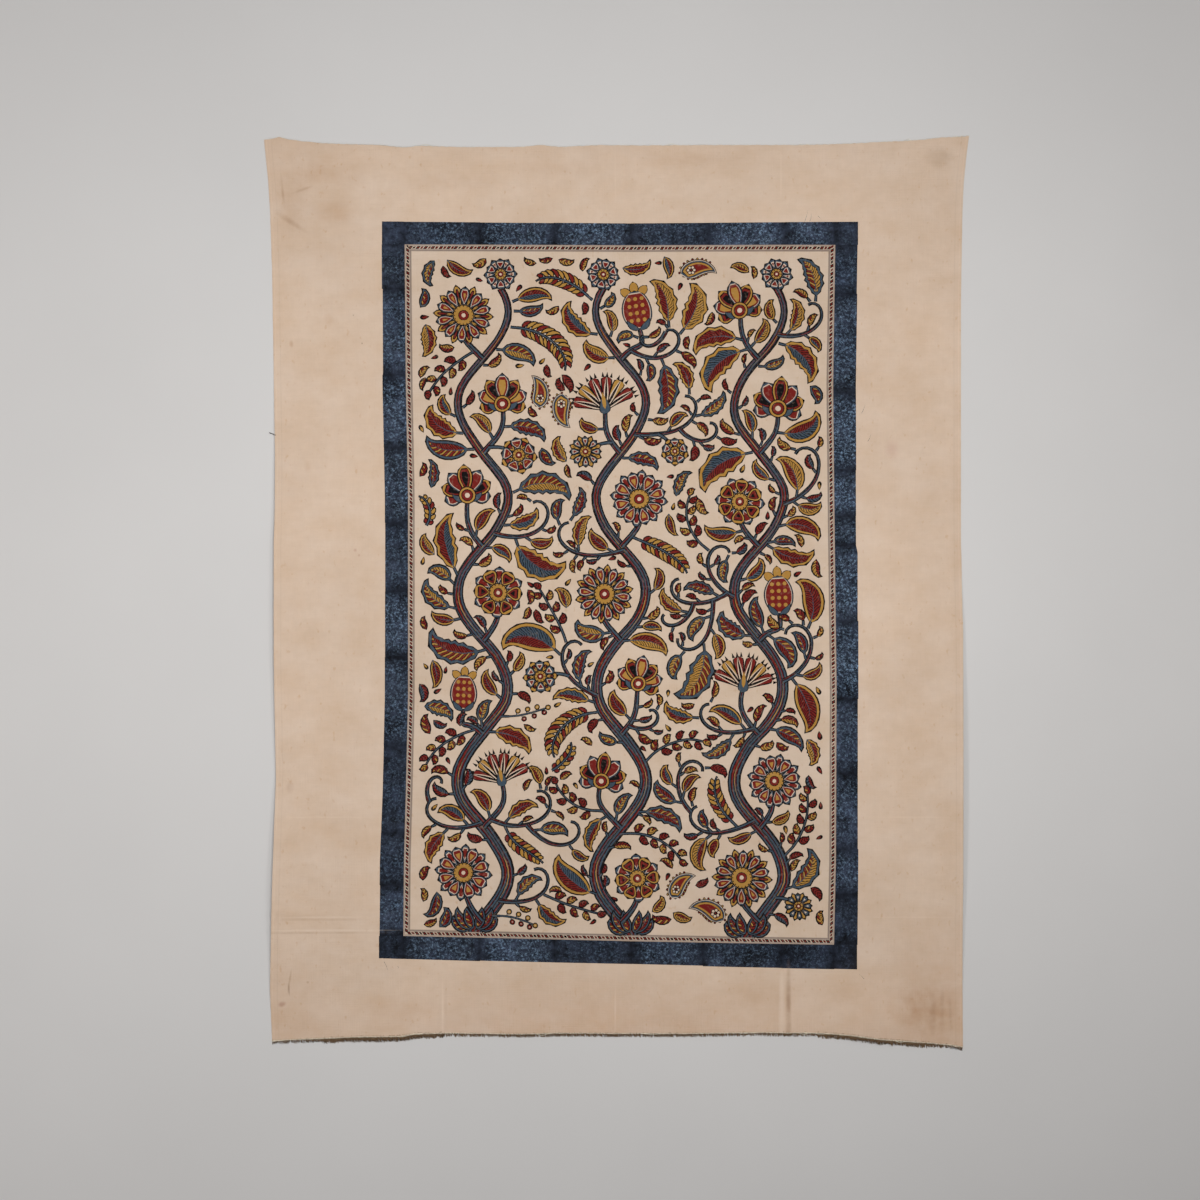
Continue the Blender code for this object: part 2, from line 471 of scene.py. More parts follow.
def spray(x, y, heading, length, bend):
    """A thin twig with round berries to each side."""
    curve = bent(x, y, heading, length, bend, 16)
    stroke(curve, 1.8, 1.0, 1.1)
    for k in range(7):
        t = 0.25 + 0.75 * k / 6
        (px, py), (nx, ny) = on_curve(curve, t)
        way = (1, -1)[k % 2] if k < 6 else 0
        reach = 8.5 - 3.0 * t
        bx, by = px + way * nx * reach + ny * 3.0, py + way * ny * reach - nx * 3.0
        middle = ((px + bx) / 2 - ny * 1.2, (py + by) / 2 + nx * 1.2)
        stroke([(px, py), middle, (bx, by)], 0.9, 0.7, 0.4)
        disc("black", bx, by, 4.8, 9)
        disc("madder" if k % 2 else "ochre", bx, by, 2.9, 8)
        disc("field", bx, by, 1.0, 5)


def paisley(x, y, heading, length, way):
    """A curled drop with scalloped rim and a small blossom in its round end."""
    curve = bent(x, y, heading, length, way * PAISLEY_BEND, 20)
    half = length * 0.235
    for k in range(9):
        for side in (1, -1):
            t = 0.04 + 0.085 * k
            scallop = off_curve(curve, t, side * (half * WIDTHS["drop"](t) + 0.6))
            disc("black", *scallop, 2.3, 6)
            disc("ochre" if k % 2 else "madder", *scallop, 1.2, 5)
    layered(PAISLEY_LAYERS, curve, length, half, "drop", 14)
    blossom(*on_curve(curve, 0.27)[0], half * 0.52, 6, "field")


def blossom(x, y, radius, petals, dye):
    """A small flower of round petals, each with a dark eye."""
    turn = hand.uniform(0, 360)
    wide = radius * 2.1 * math.pi / (2 * petals) * 0.78
    for k in range(petals):
        disc("black", *beyond(x, y, turn + 360.0 * k / petals, radius * 0.60), wide, 9)
    for k in range(petals):
        middle = beyond(x, y, turn + 360.0 * k / petals, radius * 0.62)
        disc(dye, *middle, wide - 1.3, 8)
        if radius > 8:
            disc("madder", *middle, radius * 0.12 + 0.3, 5)
    disc("black", x, y, radius * 0.30, 7)
    disc("madder", x, y, radius * 0.17, 6)


def bud(x, y, heading, length):
    """A closed bud between two thin sepals."""
    curve = bent(x, y, heading, length, hand.uniform(-25, 25), 6)
    blade("black", curve, length, length * 0.26, "drop", 0.0, steps=7)
    blade(hand.choice(("madder", "ochre")), curve, length, length * 0.26, "drop", 1.3, steps=6)
    for way in (1, -1):
        side = bent(x, y, heading + way * 40, length * 0.55, -way * 50, 4)
        blade("black", side, length * 0.55, 1.5, "leaf", 0.0, steps=4)


def stroke(points, start_width, end_width, outline, grain=0):
    """A stem along points: dark edges, slate inside."""
    steps = len(points) - 1
    for dye, grow, kind in (("black", outline, 0), ("slate", 0.0, grain)):
        rows = []
        for k in range(steps + 1):
            half = part_way(start_width, end_width, k / steps) / 2.0 + grow
            rows.append((k / steps, half, -half))
        patch_along(dye, points, rows, kind)


def band(dye, points, start_aside, end_aside, start_width, end_width):
    """A winding stripe of another dye along a stem."""
    steps = len(points) - 1
    rows = []
    for k in range(steps + 1):
        t = k / steps
        middle = part_way(start_aside, end_aside, t) + 1.1 * math.sin(0.55 * k + start_aside)
        half = 0.5 * part_way(start_width, end_width, t) * (0.75 + 0.45 * math.sin(0.9 * k))
        rows.append((t, middle + half, middle - half))
    patch_along(dye, points, rows, BARK)


def tendril(x, y, heading, length, way):
    """A thin curl that ends in a berry."""
    points = [(x, y)]
    for k in range(12):
        step = length / 12.0 * (1.25 - 0.6 * k / 12.0)
        points.append(beyond(*points[-1], heading + way * 270 * (k / 12.0) ** 1.8, step))
    stroke(points, 1.5, 0.9, 0.5)
    disc("black", *points[-1], 2.4, 7)
    disc("madder", *points[-1], 1.3, 6)


# The printed frame: indigo blocks set end to end, with a guard stripe inside them.
BLOCKS = {
    # where each block starts along its side, how dark its indigo came out, how much pale speckle
    "upper": ((-375.2, 1.15, 0.3), (-340.6, 0.92, 0.5), (-218.4, 1.02, 0.8), (-100.0, 0.86, 0.8),
              (24.3, 1.06, 0.4), (148.0, 1.18, 0.8), (269.6, 1.10, 0.7), (348.0, 0.95, 0.3)),
    "lower": ((-380.0, 1.08, 0.3), (-341.0, 0.90, 0.7), (-218.4, 1.10, 0.9), (-100.0, 0.78, 0.3),
              (24.3, 1.00, 0.6), (138.0, 0.86, 0.5), (264.0, 0.80, 0.3), (348.0, 0.84, 0.3)),
    "left": ((-551.0, 1.06, 0.5), (-470.0, 0.86, 0.4), (-386.0, 0.82, 0.3), (-247.0, 0.95, 0.6),
             (-105.0, 1.00, 0.9), (0.0, 0.88, 0.5), (110.0, 1.02, 0.7), (230.0, 1.06, 0.8),
             (347.0, 1.12, 0.6), (484.0, 1.05, 0.4)),
    "right": ((-565.0, 0.84, 0.3), (-484.0, 0.92, 0.7), (-412.0, 0.90, 0.6), (-291.0, 0.98, 0.6),
              (-172.0, 0.90, 0.9), (-47.0, 1.00, 0.9), (74.0, 0.84, 0.8), (121.0, 1.04, 1.0),
              (194.0, 0.94, 1.0), (318.0, 1.00, 0.7), (476.0, 0.90, 0.5)),
}
BLOCK_STEP = 12.0  # how often a block's look changes along it
OVERLAP = 13.0  # how far the darker joint of two blocks reaches
INWARD = {"lower": 1, "upper": -1, "left": 1, "right": -1}
GUARD_DEPTH = 11.0
GUARD_STRIPES = (
    # dye, how far inside the blocks it starts and ends
    ("guard", 0.0, GUARD_DEPTH), (("field", 0.93), 2.7, 7.2), (("guard", 0.82), 8.4, 10.0),
)
STRIP_STEP = 24.0  # the length of the pieces that a stripe is laid in
ROPE_PITCH = 12.2
ROPE_DEPTH = 4.9  # how far inside the blocks the rope's middle is


def axis_of(side):
    """0 for a side that runs across, 1 for an upright one."""
    return 0 if side in ("lower", "upper") else 1


def side_at(table, side, place):
    """How far out a side of the frame is at a place along it: its Y, or its X for an upright."""
    axis = axis_of(side)
    rows = sorted((point[axis], point[1 - axis]) for point in table[side])
    return along(rows, place)


def frame_point(side, place, depth, table=FRAME_INNER):
    """The point at a place along a side, so far inside the frame's edge."""
    out = side_at(table, side, place) + INWARD[side] * depth
    return (place, out) if axis_of(side) == 0 else (out, place)


def side_span(side, depth):
    """Where a side of the guard stripe starts and ends at this depth."""
    places = [point[axis_of(side)] for point in FRAME_INNER[side]]
    return min(places) + depth, max(places) - depth


def strip(dye, side, low_depth, high_depth):
    """A stripe along one side of the guard, mitred at its corners."""
    low, high = side_span(side, low_depth), side_span(side, high_depth)
    pieces = round((low[1] - low[0]) / STRIP_STEP)
    for k in range(pieces):
        shares = (k / pieces, (k + 1) / pieces)
        near = [frame_point(side, part_way(*low, share), low_depth) for share in shares]
        far = [frame_point(side, part_way(*high, share), high_depth) for share in shares]
        mark(dye, near + far[::-1])


def print_indigo_blocks():
    """The blocks along each side, darker where one overlaps the next."""
    for side, blocks in BLOCKS.items():
        axis = axis_of(side)
        table = FRAME_OUTER if axis == 0 else FRAME_INNER
        end = max(point[axis] for point in table[side])
        stops = [start for start, _, _ in blocks[1:]] + [end]
        for (start, tone, speckle), stop in zip(blocks, stops):
            pieces = max(2, round((stop - start) / BLOCK_STEP))
            shift = hand.uniform(-0.7, 0.7)
            places = [start + (stop - start) * j / pieces for j in range(pieces + 1)]
            looks = []
            for place in places:
                joint = math.exp(-(min(place - start, stop - place) / OVERLAP) ** 2)
                looks.append((tone * (1.0 - 0.40 * joint) * hand.uniform(0.95, 1.05),
                              speckle * (1.0 - joint) * hand.uniform(0.7, 1.0)))
            for j in range(pieces):
                a, b = places[j], places[j + 1]
                outer = [frame_point(side, place, -shift, FRAME_OUTER) for place in (a, b)]
                inner = [frame_point(side, place, 0.0) for place in (b, a)]
                mark("indigo", outer + inner, (BLOCK, axis, a, b, looks[j], looks[j + 1]))


def dash(dye, side, place, half, tall, lean):
    """One slanted dash of the guard stripe's rope."""
    low, high = ROPE_DEPTH - tall, ROPE_DEPTH + tall
    corners = ((place - half + lean, low), (place + half + lean, low),
               (place + half - lean, high), (place - half - lean, high))
    mark(dye, [frame_point(side, *corner) for corner in corners])


def print_guard_stripe():
    """A pale line of slanted dashes, large and small by turns, between two grey ones."""
    for side in INWARD:
        for dye, low, high in GUARD_STRIPES:
            strip(dye, side, low, high)
        start, stop = side_span(side, 3.0)
        count = round((stop - start) / ROPE_PITCH)
        pitch = (stop - start) / count
        for k in range(count):
            place = start + pitch * (k + 0.5) + hand.uniform(-0.5, 0.5)
            lean = hand.uniform(1.2, 1.8)
            dash("black", side, place, 2.6, hand.uniform(2.1, 2.5), lean)
            dash("madder", side, place, 1.1, 1.2, lean * 0.5)
            dash((hand.choice(("madder", "madder", "black")), 0.8), side, place + pitch / 2,
                 hand.uniform(1.5, 2.1), hand.uniform(1.5, 2.1), lean * 0.8)


def print_selvedges():
    """Two faint lines of thicker warp just inside each selvedge."""
    for way, table in ((-1, LEFT_SELVEDGE), (1, RIGHT_SELVEDGE)):
        places = [table[0][0] + (table[-1][0] - table[0][0]) * k / 40 for k in range(41)]
        for depth, tone in ((3.0, 1.02), (10.5, 0.98)):
            edges = []
            for wide in (0.0, 1.7):
                out = [BOX_WIDTH / 2.0 - along(table, y) - depth - wide for y in places]
                edges.append([(way * x, y - BOX_LENGTH / 2.0) for x, y in zip(out, places)])
            mark(("cotton", tone), edges[0] + edges[1][::-1])


def field_outline(depth):
    """The corner points of the inner field, counter-clockwise."""
    ring = []
    for side in ("lower", "right", "upper", "left"):
        start, stop = side_span(side, depth)
        if side in ("upper", "left"):
            start, stop = stop, start
        places = [start + (stop - start) * k / 24 for k in range(24)]
        ring.extend(frame_point(side, place, depth) for place in places)
    return ring


# The trellis: three creepers, a flower in each of their bends, leaves and small motifs between.
# Its lengths are in mm and its angles in degrees, like those of the motifs above.
FIELD_ROOM = (-317.0, -539.0, 332.0, 537.0)  # left, lower, right, upper
CREEPERS = ((-214.0, 1), (7.0, -1), (228.0, 1))  # middle line, the way of the first bend
FIRST_BEND = -452.0
BEND_STEP = 150.0
SWAY = 40.0
BENDS = 7
STEM_STEPS = 84
STEM_FOOT, STEM_TIP = 19.0, 7.5  # how wide a creeper is at its foot and at its tip
RUNNER_CURL = 150
PAISLEY_BEND = 105
CELL = 55.0  # over the largest circle's radius and gap
taken = {}


def take(discs):
    """Keeps these circles clear of what is drawn later."""
    for x, y, r in discs:
        for i in (-1, 0, 1):
            for j in (-1, 0, 1):
                cell = (int(x // CELL) + i, int(y // CELL) + j)
                taken.setdefault(cell, []).append((x, y, r))


def is_free(discs, gap):
    """Whether these circles lie in the field, this far from all that is kept clear."""
    left, lower, right, upper = FIELD_ROOM
    for x, y, r in discs:
        if x - r < left or x + r > right or y - r < lower or y + r > upper:
            return False
        for u, v, s in taken.get((int(x // CELL), int(y // CELL)), ()):
            if (x - u) ** 2 + (y - v) ** 2 < (r + s + gap) ** 2:
                return False
    return True


def cover(curve, half_width, start=0.0, base=0.2, tip=0.45):
    """Circles that cover a shape along a curve, with its base and tip as shares of its half width."""
    discs = []
    for k in range(9):
        t = start + (1.0 - start) * k / 8
        swell = math.sin(math.pi * t)
        least = base if t < 0.5 else tip
        discs.append((*on_curve(curve, t)[0], half_width * (swell + (1 - swell) * least)))
    return discs


def creeper_x(middle, way, y):
    """How far across a creeper is at this height."""
    return middle + way * SWAY * math.cos(math.pi * (y - FIRST_BEND) / BEND_STEP)


def draw_stalk(root, curve):
    """A short stalk from a stem's edge into the base of what it carries."""
    (x, y), _ = on_curve(curve, 0.07)
    stroke([root, ((root[0] + x) / 2, (root[1] + y) / 2), (x, y)], 2.4, 1.6, 1.5)


def try_leaf(x, y, heading, length, width_share, bend, lobes, dyes, gap, curl, stalk):
    """Draws a leaf, and its stalk from a stem, on the first of three headings that has room."""
    width = length * width_share
    for swing in (0, 12, -12):
        curve = bent(x, y, heading + swing, length, bend, curl=curl)
        discs = cover(curve, width / 2.0, 0.0, 0.1, 0.1)
        if is_free(discs, gap):
            take(discs)
            if stalk:
                draw_stalk(stalk, curve)
            leaf(x, y, heading + swing, length, width, bend, lobes, dyes, curl)
            return


FLOWERS = (
    # kind, size, petals, the dyes of its two rings
    ("rosette", 46, 8, RED_PETAL, SLATE_PETAL),
    ("palmette", 50, 0, RED_PETAL, OCHRE_PETAL),
    ("rosette", 43, 6, OCHRE_PETAL, SLATE_PETAL),
    ("carnation", 52, 0, None, None),
    ("rosette", 48, 10, RED_PETAL, OCHRE_PETAL),
    ("palmette", 52, 0, OCHRE_PETAL, SLATE_PETAL),
    ("pomegranate", 62, 0, None, None),
)
SMALL_ROSETTES = ((RED_PETAL, OCHRE_PETAL), (SLATE_PETAL, OCHRE_PETAL), (RED_PETAL, SLATE_PETAL))
LEAF_DYES = (("madder", "madder"), ("madder", "ochre"), ("ochre", "ochre"), ("madder", "slate"),
             ("ochre", "madder"))


def draw_flower(kind, x, y, heading, size, petals, first, second):
    """Draws one of the large flowers; the last two are the dyes of its petals."""
    if kind == "rosette":
        rosette(x, y, size, petals, hand.uniform(0, 360), first, second)
    elif kind == "palmette":
        palmette(x, y, heading, size, first, second)
    elif kind == "carnation":
        carnation(x, y, heading, size)
    else:
        pomegranate(x, y, heading, size)


stems = []  # places on the stems that can carry something: x, y, the stem's heading, its half width


def carry(path, half_width):
    """Lets a stem carry leaves and twigs, and keeps others clear of it."""
    take((x, y, half_width) for x, y in path)
    for (ax, ay), (bx, by) in zip(path[1:], path[2:]):
        stems.append((bx, by, math.degrees(math.atan2(by - ay, bx - ax)), half_width))


def print_creeper(middle, way):
    """One creeper with a ruff of leaves at its foot. Gives the rosette at its top."""
    low, high = side_at(FRAME_INNER, "lower", middle) + GUARD_DEPTH, FIELD_ROOM[3] - 52.0
    stem = []
    for k in range(STEM_STEPS + 1):
        y = low + (high - low) * k / STEM_STEPS
        shake = 3.0 * noise.noise(Vector((middle, y / 60.0, 0.0)))
        stem.append((creeper_x(middle, way, y) + shake, y))
    foot = (stem[0][0], low - 1.5)
    stem.insert(0, foot)
    stroke(stem, STEM_FOOT, STEM_TIP, 2.2, BARK)
    for dye, aside, wide in (("madder", 0.26, 0.20), ("madder", -0.24, 0.17), ("ochre", 0.01, 0.08)):
        band(dye, stem, STEM_FOOT * aside, STEM_TIP * aside, STEM_FOOT * wide, STEM_TIP * wide)
    carry(stem, 8.5)
    base = (foot[0], foot[1] + 3.0)
    for lean, long in ((78, 40), (-78, 40), (52, 46), (-52, 46), (25, 40), (-25, 40)):
        leaf(foot[0] + 0.1 * lean, base[1], 90 - lean, long, 17.0, lean * 0.5, 0, ("ochre", "madder"),
             lean * 0.9)
        take(cover(bent(*base, 90 - lean, long, lean * 0.5, curl=lean * 0.9), 8.0))
    top = (stem[-1][0], stem[-1][1] + 22.0)
    take([(*top, 28.0)])
    return ("rosette", *top, 90, 28, 6, RED_PETAL, SLATE_PETAL)


def print_stalk(middle, way, side, y, row):
    """The stalk of the flower in one bend, and room kept for it. Gives the flower at its end."""
    kind, size, petals, first, second = row
    size *= hand.uniform(0.93, 1.05)
    x = creeper_x(middle, way, y) - side * (68 + hand.uniform(-4, 4))
    y_flower = y - 4 + hand.uniform(-7, 7)
    x = max(FIELD_ROOM[0] + size + 1, min(FIELD_ROOM[2] - size - 1, x))
    heading = 90 + side * hand.uniform(-10, 16)
    centre = (x, y_flower)
    base = beyond(*centre, heading, -size * 0.5) if kind == "pomegranate" else centre
    root = (creeper_x(middle, way, y - 76.0), y - 76.0)
    path = arc_between(root, 90 + side * 42, base, heading - side * 8, 38.0)
    stroke(path, 7.0, 4.0, 1.8, BARK)
    band("madder", path, 0.8, 0.4, 2.0, 1.2)
    if kind in ("palmette", "carnation"):
        take([(*beyond(*centre, heading, size * 0.42), size * 0.80), (*centre, size * 0.55)])
    elif kind == "pomegranate":
        take([(*centre, size * 0.46), (*beyond(*base, heading, size), size * 0.25)])
    else:
        take([(*centre, size + 1.0)])
    carry([point for point in path if math.dist(point, base) > size * 0.5], 3.8)
    return (kind, *base, heading, size, petals, first, second)


def print_trellis():
    """The creepers, their flowers on curved stalks, and room kept for both."""
    flowers = [print_creeper(middle, way) for middle, way in CREEPERS]
    for column, (middle, way) in enumerate(CREEPERS):
        for bend_number in range(BENDS):
            side = way if bend_number % 2 == 0 else -way
            row = FLOWERS[(bend_number * 3 + column * 2) % len(FLOWERS)]
            flowers.append(print_stalk(middle, way, side, FIRST_BEND + BEND_STEP * bend_number, row))
    for row in flowers:
        draw_flower(*row)


GROWTH = (
    # what grows from the stems, in this order: kind, length, tries, gap
    ("runner", 135, 400, 19.0), ("flower", 31, 60, 2.4), ("frond", 104, 150, 1.8),
    ("twig", 92, 150, 1.8), ("leaf", 96, 500, 1.8), ("runner", 88, 500, 13.0),
    ("flower", 24, 90, 2.0), ("paisley", 76, 300, 1.8), ("frond", 84, 200, 1.6),
    ("twig", 78, 400, 1.6), ("leaf", 78, 2500, 1.6), ("spray", 66, 300, 1.6),
    ("runner", 62, 700, 10.0), ("leaf", 62, 4000, 1.4), ("pomegranate", 40, 200, 1.6),
    ("twig", 56, 600, 1.5), ("leaf", 50, 5000, 1.3), ("tendril", 32, 400, 1.5),
    ("leaf", 40, 6000, 1.2), ("tendril", 20, 600, 1.5), ("leaf", 31, 6000, 1.1),
    ("leaf", 23, 5000, 1.1),
)
LOOSE = (
    # what fills the gaps left between them
    ("paisley", 60, 1200, 1.8), ("frond", 58, 600, 1.6), ("twig", 52, 600, 1.6),
    ("leaf", 52, 6000, 1.3), ("blossom", 15, 800, 1.8), ("leaf", 40, 9000, 1.1),
    ("blossom", 10, 900, 1.4), ("leaf", 28, 9000, 1.1), ("bud", 14, 5000, 1.0),
)
RUNNER_START = 0.03  # share of a runner that needs no room beyond what lies over its stem
ROOM = {
    # half of a motif's width: a fixed part in mm, and a share of its length
    "paisley": (0.0, 0.27), "frond": (0.0, 0.23), "twig": (16.5, 0.0), "spray": (12.0, 0.0),
    "pomegranate": (0.0, 0.42), "bud": (0.0, 0.3),
}
ROUND_ROOM = {
    # the middle and the radius of a round motif, as shares of its length
    "tendril": (0.45, 0.36), "flower": (1.6, 1.0), "blossom": (0.0, 1.0),
}


def room_for(kind, x, y, heading, long, bend, start):
    """Circles that cover a motif, from a share of its length on."""
    if kind in ROUND_ROOM:
        away, radius = ROUND_ROOM[kind]
        return [(*beyond(x, y, heading, away * long), radius * long)]
    if kind == "runner":
        path = bent(x, y, heading, long, bend, 20, math.copysign(RUNNER_CURL, bend))
        return cover(path, 4.0, start, 0.6, 0.6)
    reach = long * 1.2 if kind == "pomegranate" else long
    turn = 0 if kind in ("pomegranate", "bud") else bend
    fixed, share = ROOM[kind]
    return cover(bent(x, y, heading, reach, turn), fixed + share * long)


def draw_motif(kind, x, y, heading, long, bend, way):
    """Draws one motif that grows from (x, y), a blossom round it."""
    if kind == "paisley":
        paisley(x, y, heading, long, way)
    elif kind == "pomegranate":
        pomegranate(x, y, heading, long)
    elif kind == "frond":
        frond(x, y, heading, long, bend, way * 40)
    elif kind == "twig":
        twig(x, y, heading, long, bend)
    elif kind == "spray":
        spray(x, y, heading, long, bend)
    elif kind == "tendril":
        tendril(x, y, heading, long * 1.5, way)
    elif kind == "bud":
        bud(x, y, heading, long)
    elif kind == "blossom":
        blossom(x, y, long, hand.choice((5, 6)), hand.choice(("field", "field", "ochre")))
    elif kind == "flower":
        middle = beyond(x, y, heading, 1.6 * long)
        path = arc_between((x, y), heading - way * 25, middle, heading + way * 25, long * 0.5, 6)
        stroke(path, 3.4, 2.6, 1.6)
        rings = hand.choice(SMALL_ROSETTES)
        rosette(*middle, long, hand.choice((5, 6, 8)), hand.uniform(0, 360), *rings)
    else:
        path = bent(x, y, heading, long, bend, 20, math.copysign(RUNNER_CURL, bend))
        stroke(path, 5.0, 1.8, 1.7, BARK)
        band("madder", path[:14], 0.5, 0.3, 1.7, 0.9)
        carry(path, 3.4)


def grow(rows, from_stems):
    """Motifs of falling size, each where it has room: on a stalk from a stem, or free of them."""
    left, lower, right, upper = FIELD_ROOM
    for kind, size, tries, gap in rows:
        for _ in range(tries):
            way = hand.choice((1, -1))
            long = size * hand.uniform(0.88, 1.12)
            start = 0.0
            stalk = None
            if from_stems:
                x, y, ahead, half_width = hand.choice(stems)
                heading = ahead + way * hand.uniform(40, 80)
                start = min(0.8, (half_width + gap) / (0.8 * long) + RUNNER_START)
                if kind not in ("runner", "flower", "tendril"):
                    stalk = beyond(x, y, heading, half_width)
                    x, y = beyond(x, y, heading, half_width + 5.0 + 0.05 * long)
            else:
                x, y = hand.uniform(left, right), hand.uniform(lower, upper)
                heading = hand.uniform(0, 360)
            if kind == "leaf":
                bend = way * hand.uniform(20, 70) * hand.choice((1, -1))
                lobes = hand.choice((0, 5, 6)) if size > 50 else 0
                try_leaf(x, y, heading, long, hand.uniform(0.36, 0.47), bend, lobes,
                         hand.choice(LEAF_DYES), gap, math.copysign(70, bend), stalk)
                continue
            bend = -way * hand.uniform(40, 110) if kind == "runner" else way * hand.uniform(-80, 80)
            if kind == "paisley":
                bend = way * PAISLEY_BEND
            discs = room_for(kind, x, y, heading, long, bend, start)
            if is_free(discs, gap):
                take(discs)
                if stalk:
                    draw_stalk(stalk, bent(x, y, heading, long, bend))
                draw_motif(kind, x, y, heading, long, bend, way)


def moved(x, y):
    """A point moved a little out of true, as hand work is."""
    out = []
    for value, wide_seed, fine_seed in ((x, 1.0, 2.0), (y, 7.0, 8.0)):
        shift = 1.5 * noise.noise(Vector((x / 48.0, y / 48.0, wide_seed)))
        shift += 0.35 * noise.noise(Vector((x / 5.0, y / 5.0, fine_seed)))
        out.append(value + shift)
    return tuple(out)


def unsteady(start):
    """Moves the marks from this one on a little out of true."""
    for k in range(start, len(marks)):
        dye, corners, grain = marks[k]
        if grain:
            grain = (grain[0], [moved(x, y) for x, y in grain[1]])
        marks[k] = (dye, [moved(x, y) for x, y in corners], grain)


DRIPS = (
    # thin indigo runs and scratches beside the frame: from, to
    ((301, 592), (306, 610)), ((309, 592), (312, 604)), ((322, 601), (326, 596)),
    ((-372, -592), (-366, -606)), ((-350, -599), (-349, -603)), ((392, 285), (398, 300)),
    ((402, 240), (407, 252)), ((396, -620), (388, -612)),
)


def print_marks():
    """The whole print, from the ground of the field to its last small bud."""
    mark("field", field_outline(GUARD_DEPTH - 0.4))
    print_selvedges()
    print_indigo_blocks()
    print_guard_stripe()
    for (ax, ay), (bx, by) in DRIPS:
        stroke([(ax, ay), ((ax + bx) / 2 + 0.8, (ay + by) / 2), (bx, by)], 0.5, 0.1, 0.0)
    first = len(marks)
    print_trellis()
    grow(GROWTH, True)
    grow(LOOSE, False)
    unsteady(first)


print_marks()


# The cloth itself: its face is cut into triangles along every edge of the print.
END_STEP = 4.0  # mm between the outline's corners along a torn end
SELVEDGE_STEP = 7.0  # the same along a selvedge
FACE_STEP, BACK_STEP = 22.0, 30.0  # mm between the loose points that carry the relief
CREASE_STEP = 7.0
CREASE_ROWS = (-1.0, -0.55, -0.2, 0.0, 0.2, 0.55, 1.0)  # shares of a fold mark's half width
BOLD_SIZE = 1500.0  # square mm; smaller patches don't show on the back
MERGED = 0.01  # mm; closer points become one


def outline_ring():
    """The cloth's outline, counter-clockwise, with ragged torn ends and firm selvedges."""
    ring = []
    for side, table, step, ragged in (
            ("lower", LOWER_END, END_STEP, 0.9), ("right", RIGHT_SELVEDGE, SELVEDGE_STEP, 0.3),
            ("upper", UPPER_END, END_STEP, 0.9), ("left", LEFT_SELVEDGE, SELVEDGE_STEP, 0.3)):
        torn = axis_of(side) == 0
        half_out, half_run = BOX_LENGTH / 2.0, BOX_WIDTH / 2.0
        if not torn:
            half_out, half_run = half_run, half_out
        start, stop = table[0][0], table[-1][0]
        if side in ("upper", "left"):
            start, stop = stop, start
        count = round(abs(stop - start) / step)
        for k in range(count):
            place = start + (stop - start) * k / count
            rough = ragged * hand.random() * (k > 0 or not torn)
            out = INWARD[side] * (along(table, place) - half_out + rough)
            run = place - half_run
            ring.append((run, out) if torn else (out, run))
    return ring


def relief_points(step):
    """Loose points spread evenly over the cloth, to carry its relief."""
    points = []
    across_count = int(BOX_WIDTH / step)
    up_count = int(BOX_LENGTH / step)
    for i in range(across_count + 1):
        for j in range(up_count + 1):
            x = (i + 0.5 * (j % 2)) * step - BOX_WIDTH / 2.0 + hand.uniform(-1, 1)
            y = j * step - BOX_LENGTH / 2.0 + hand.uniform(-1, 1)
            inward, _, _ = edge_distances(x, y)
            if min(inward.values()) > 5.0:
                points.append((x, y))
    return points


def crease_points():
    """Rows of points along each fold mark."""
    points = []
    for way, place, start, end, _, half_width in FOLD_MARKS:
        size = BOX_LENGTH if way == "up" else BOX_WIDTH
        count = int((end - start) * size / CREASE_STEP)
        for k in range(count + 1):
            run = (start + (end - start) * k / count) * size
            for aside in CREASE_ROWS:
                if way == "up":
                    x, y = place * BOX_WIDTH + aside * half_width, run
                else:
                    x, y = run, place * BOX_LENGTH + aside * half_width
                x, y = x - BOX_WIDTH / 2.0, y - BOX_LENGTH / 2.0
                if min(edge_distances(x, y)[0].values()) > 3.0:
                    points.append((x, y))
    return points


def lay_dyes(centres, patches):
    """For each centre, the number of the last patch that covers it, or -1."""
    found = np.full(len(centres), -1, dtype=int)
    order = np.argsort(centres[:, 0], kind="stable")
    xs, ys = centres[order, 0], centres[order, 1]
    for number, (_, corners, _) in enumerate(patches):
        ring = np.array(corners)
        (low_x, low_y), (high_x, high_y) = ring.min(axis=0), ring.max(axis=0)
        near = np.arange(*np.searchsorted(xs, (low_x, high_x)))
        near = near[(ys[near] >= low_y) & (ys[near] <= high_y)]
        x, y = xs[near], ys[near]
        crossings = np.zeros(len(near), dtype=bool)
        for (ax, ay), (bx, by) in zip(ring, np.roll(ring, -1, axis=0)):
            if ay != by:
                spans = (ay > y) != (by > y)
                crossings ^= spans & (x < (bx - ax) * (y - ay) / (by - ay) + ax)
        found[order[near[crossings]]] = number
    return found


def cut_along(rings, loose, edges=()):
    """Triangles over these rings, edges and loose points: (points, triangles)."""
    points = []
    lines = []
    for ring in rings:
        first = len(points)
        points.extend(Vector(corner) for corner in ring)
        lines.extend((first + k, first + (k + 1) % len(ring)) for k in range(len(ring)))
    for a, b in edges:
        lines.append((len(points), len(points) + 1))
        points.extend((Vector(a), Vector(b)))
    points.extend(Vector(point) for point in loose)
    result = delaunay_2d_cdt(points, lines, [], 0, MERGED, False)
    return [tuple(point) for point in result[0]], [tuple(face) for face in result[2]]


def centres_of(points, triangles):
    """The middle of each triangle."""
    return np.array(points)[np.array(triangles)].mean(axis=1)


def edges_of(triangle):
    """Its three edges, in turn."""
    a, b, c = triangle
    return (a, b), (b, c), (c, a)


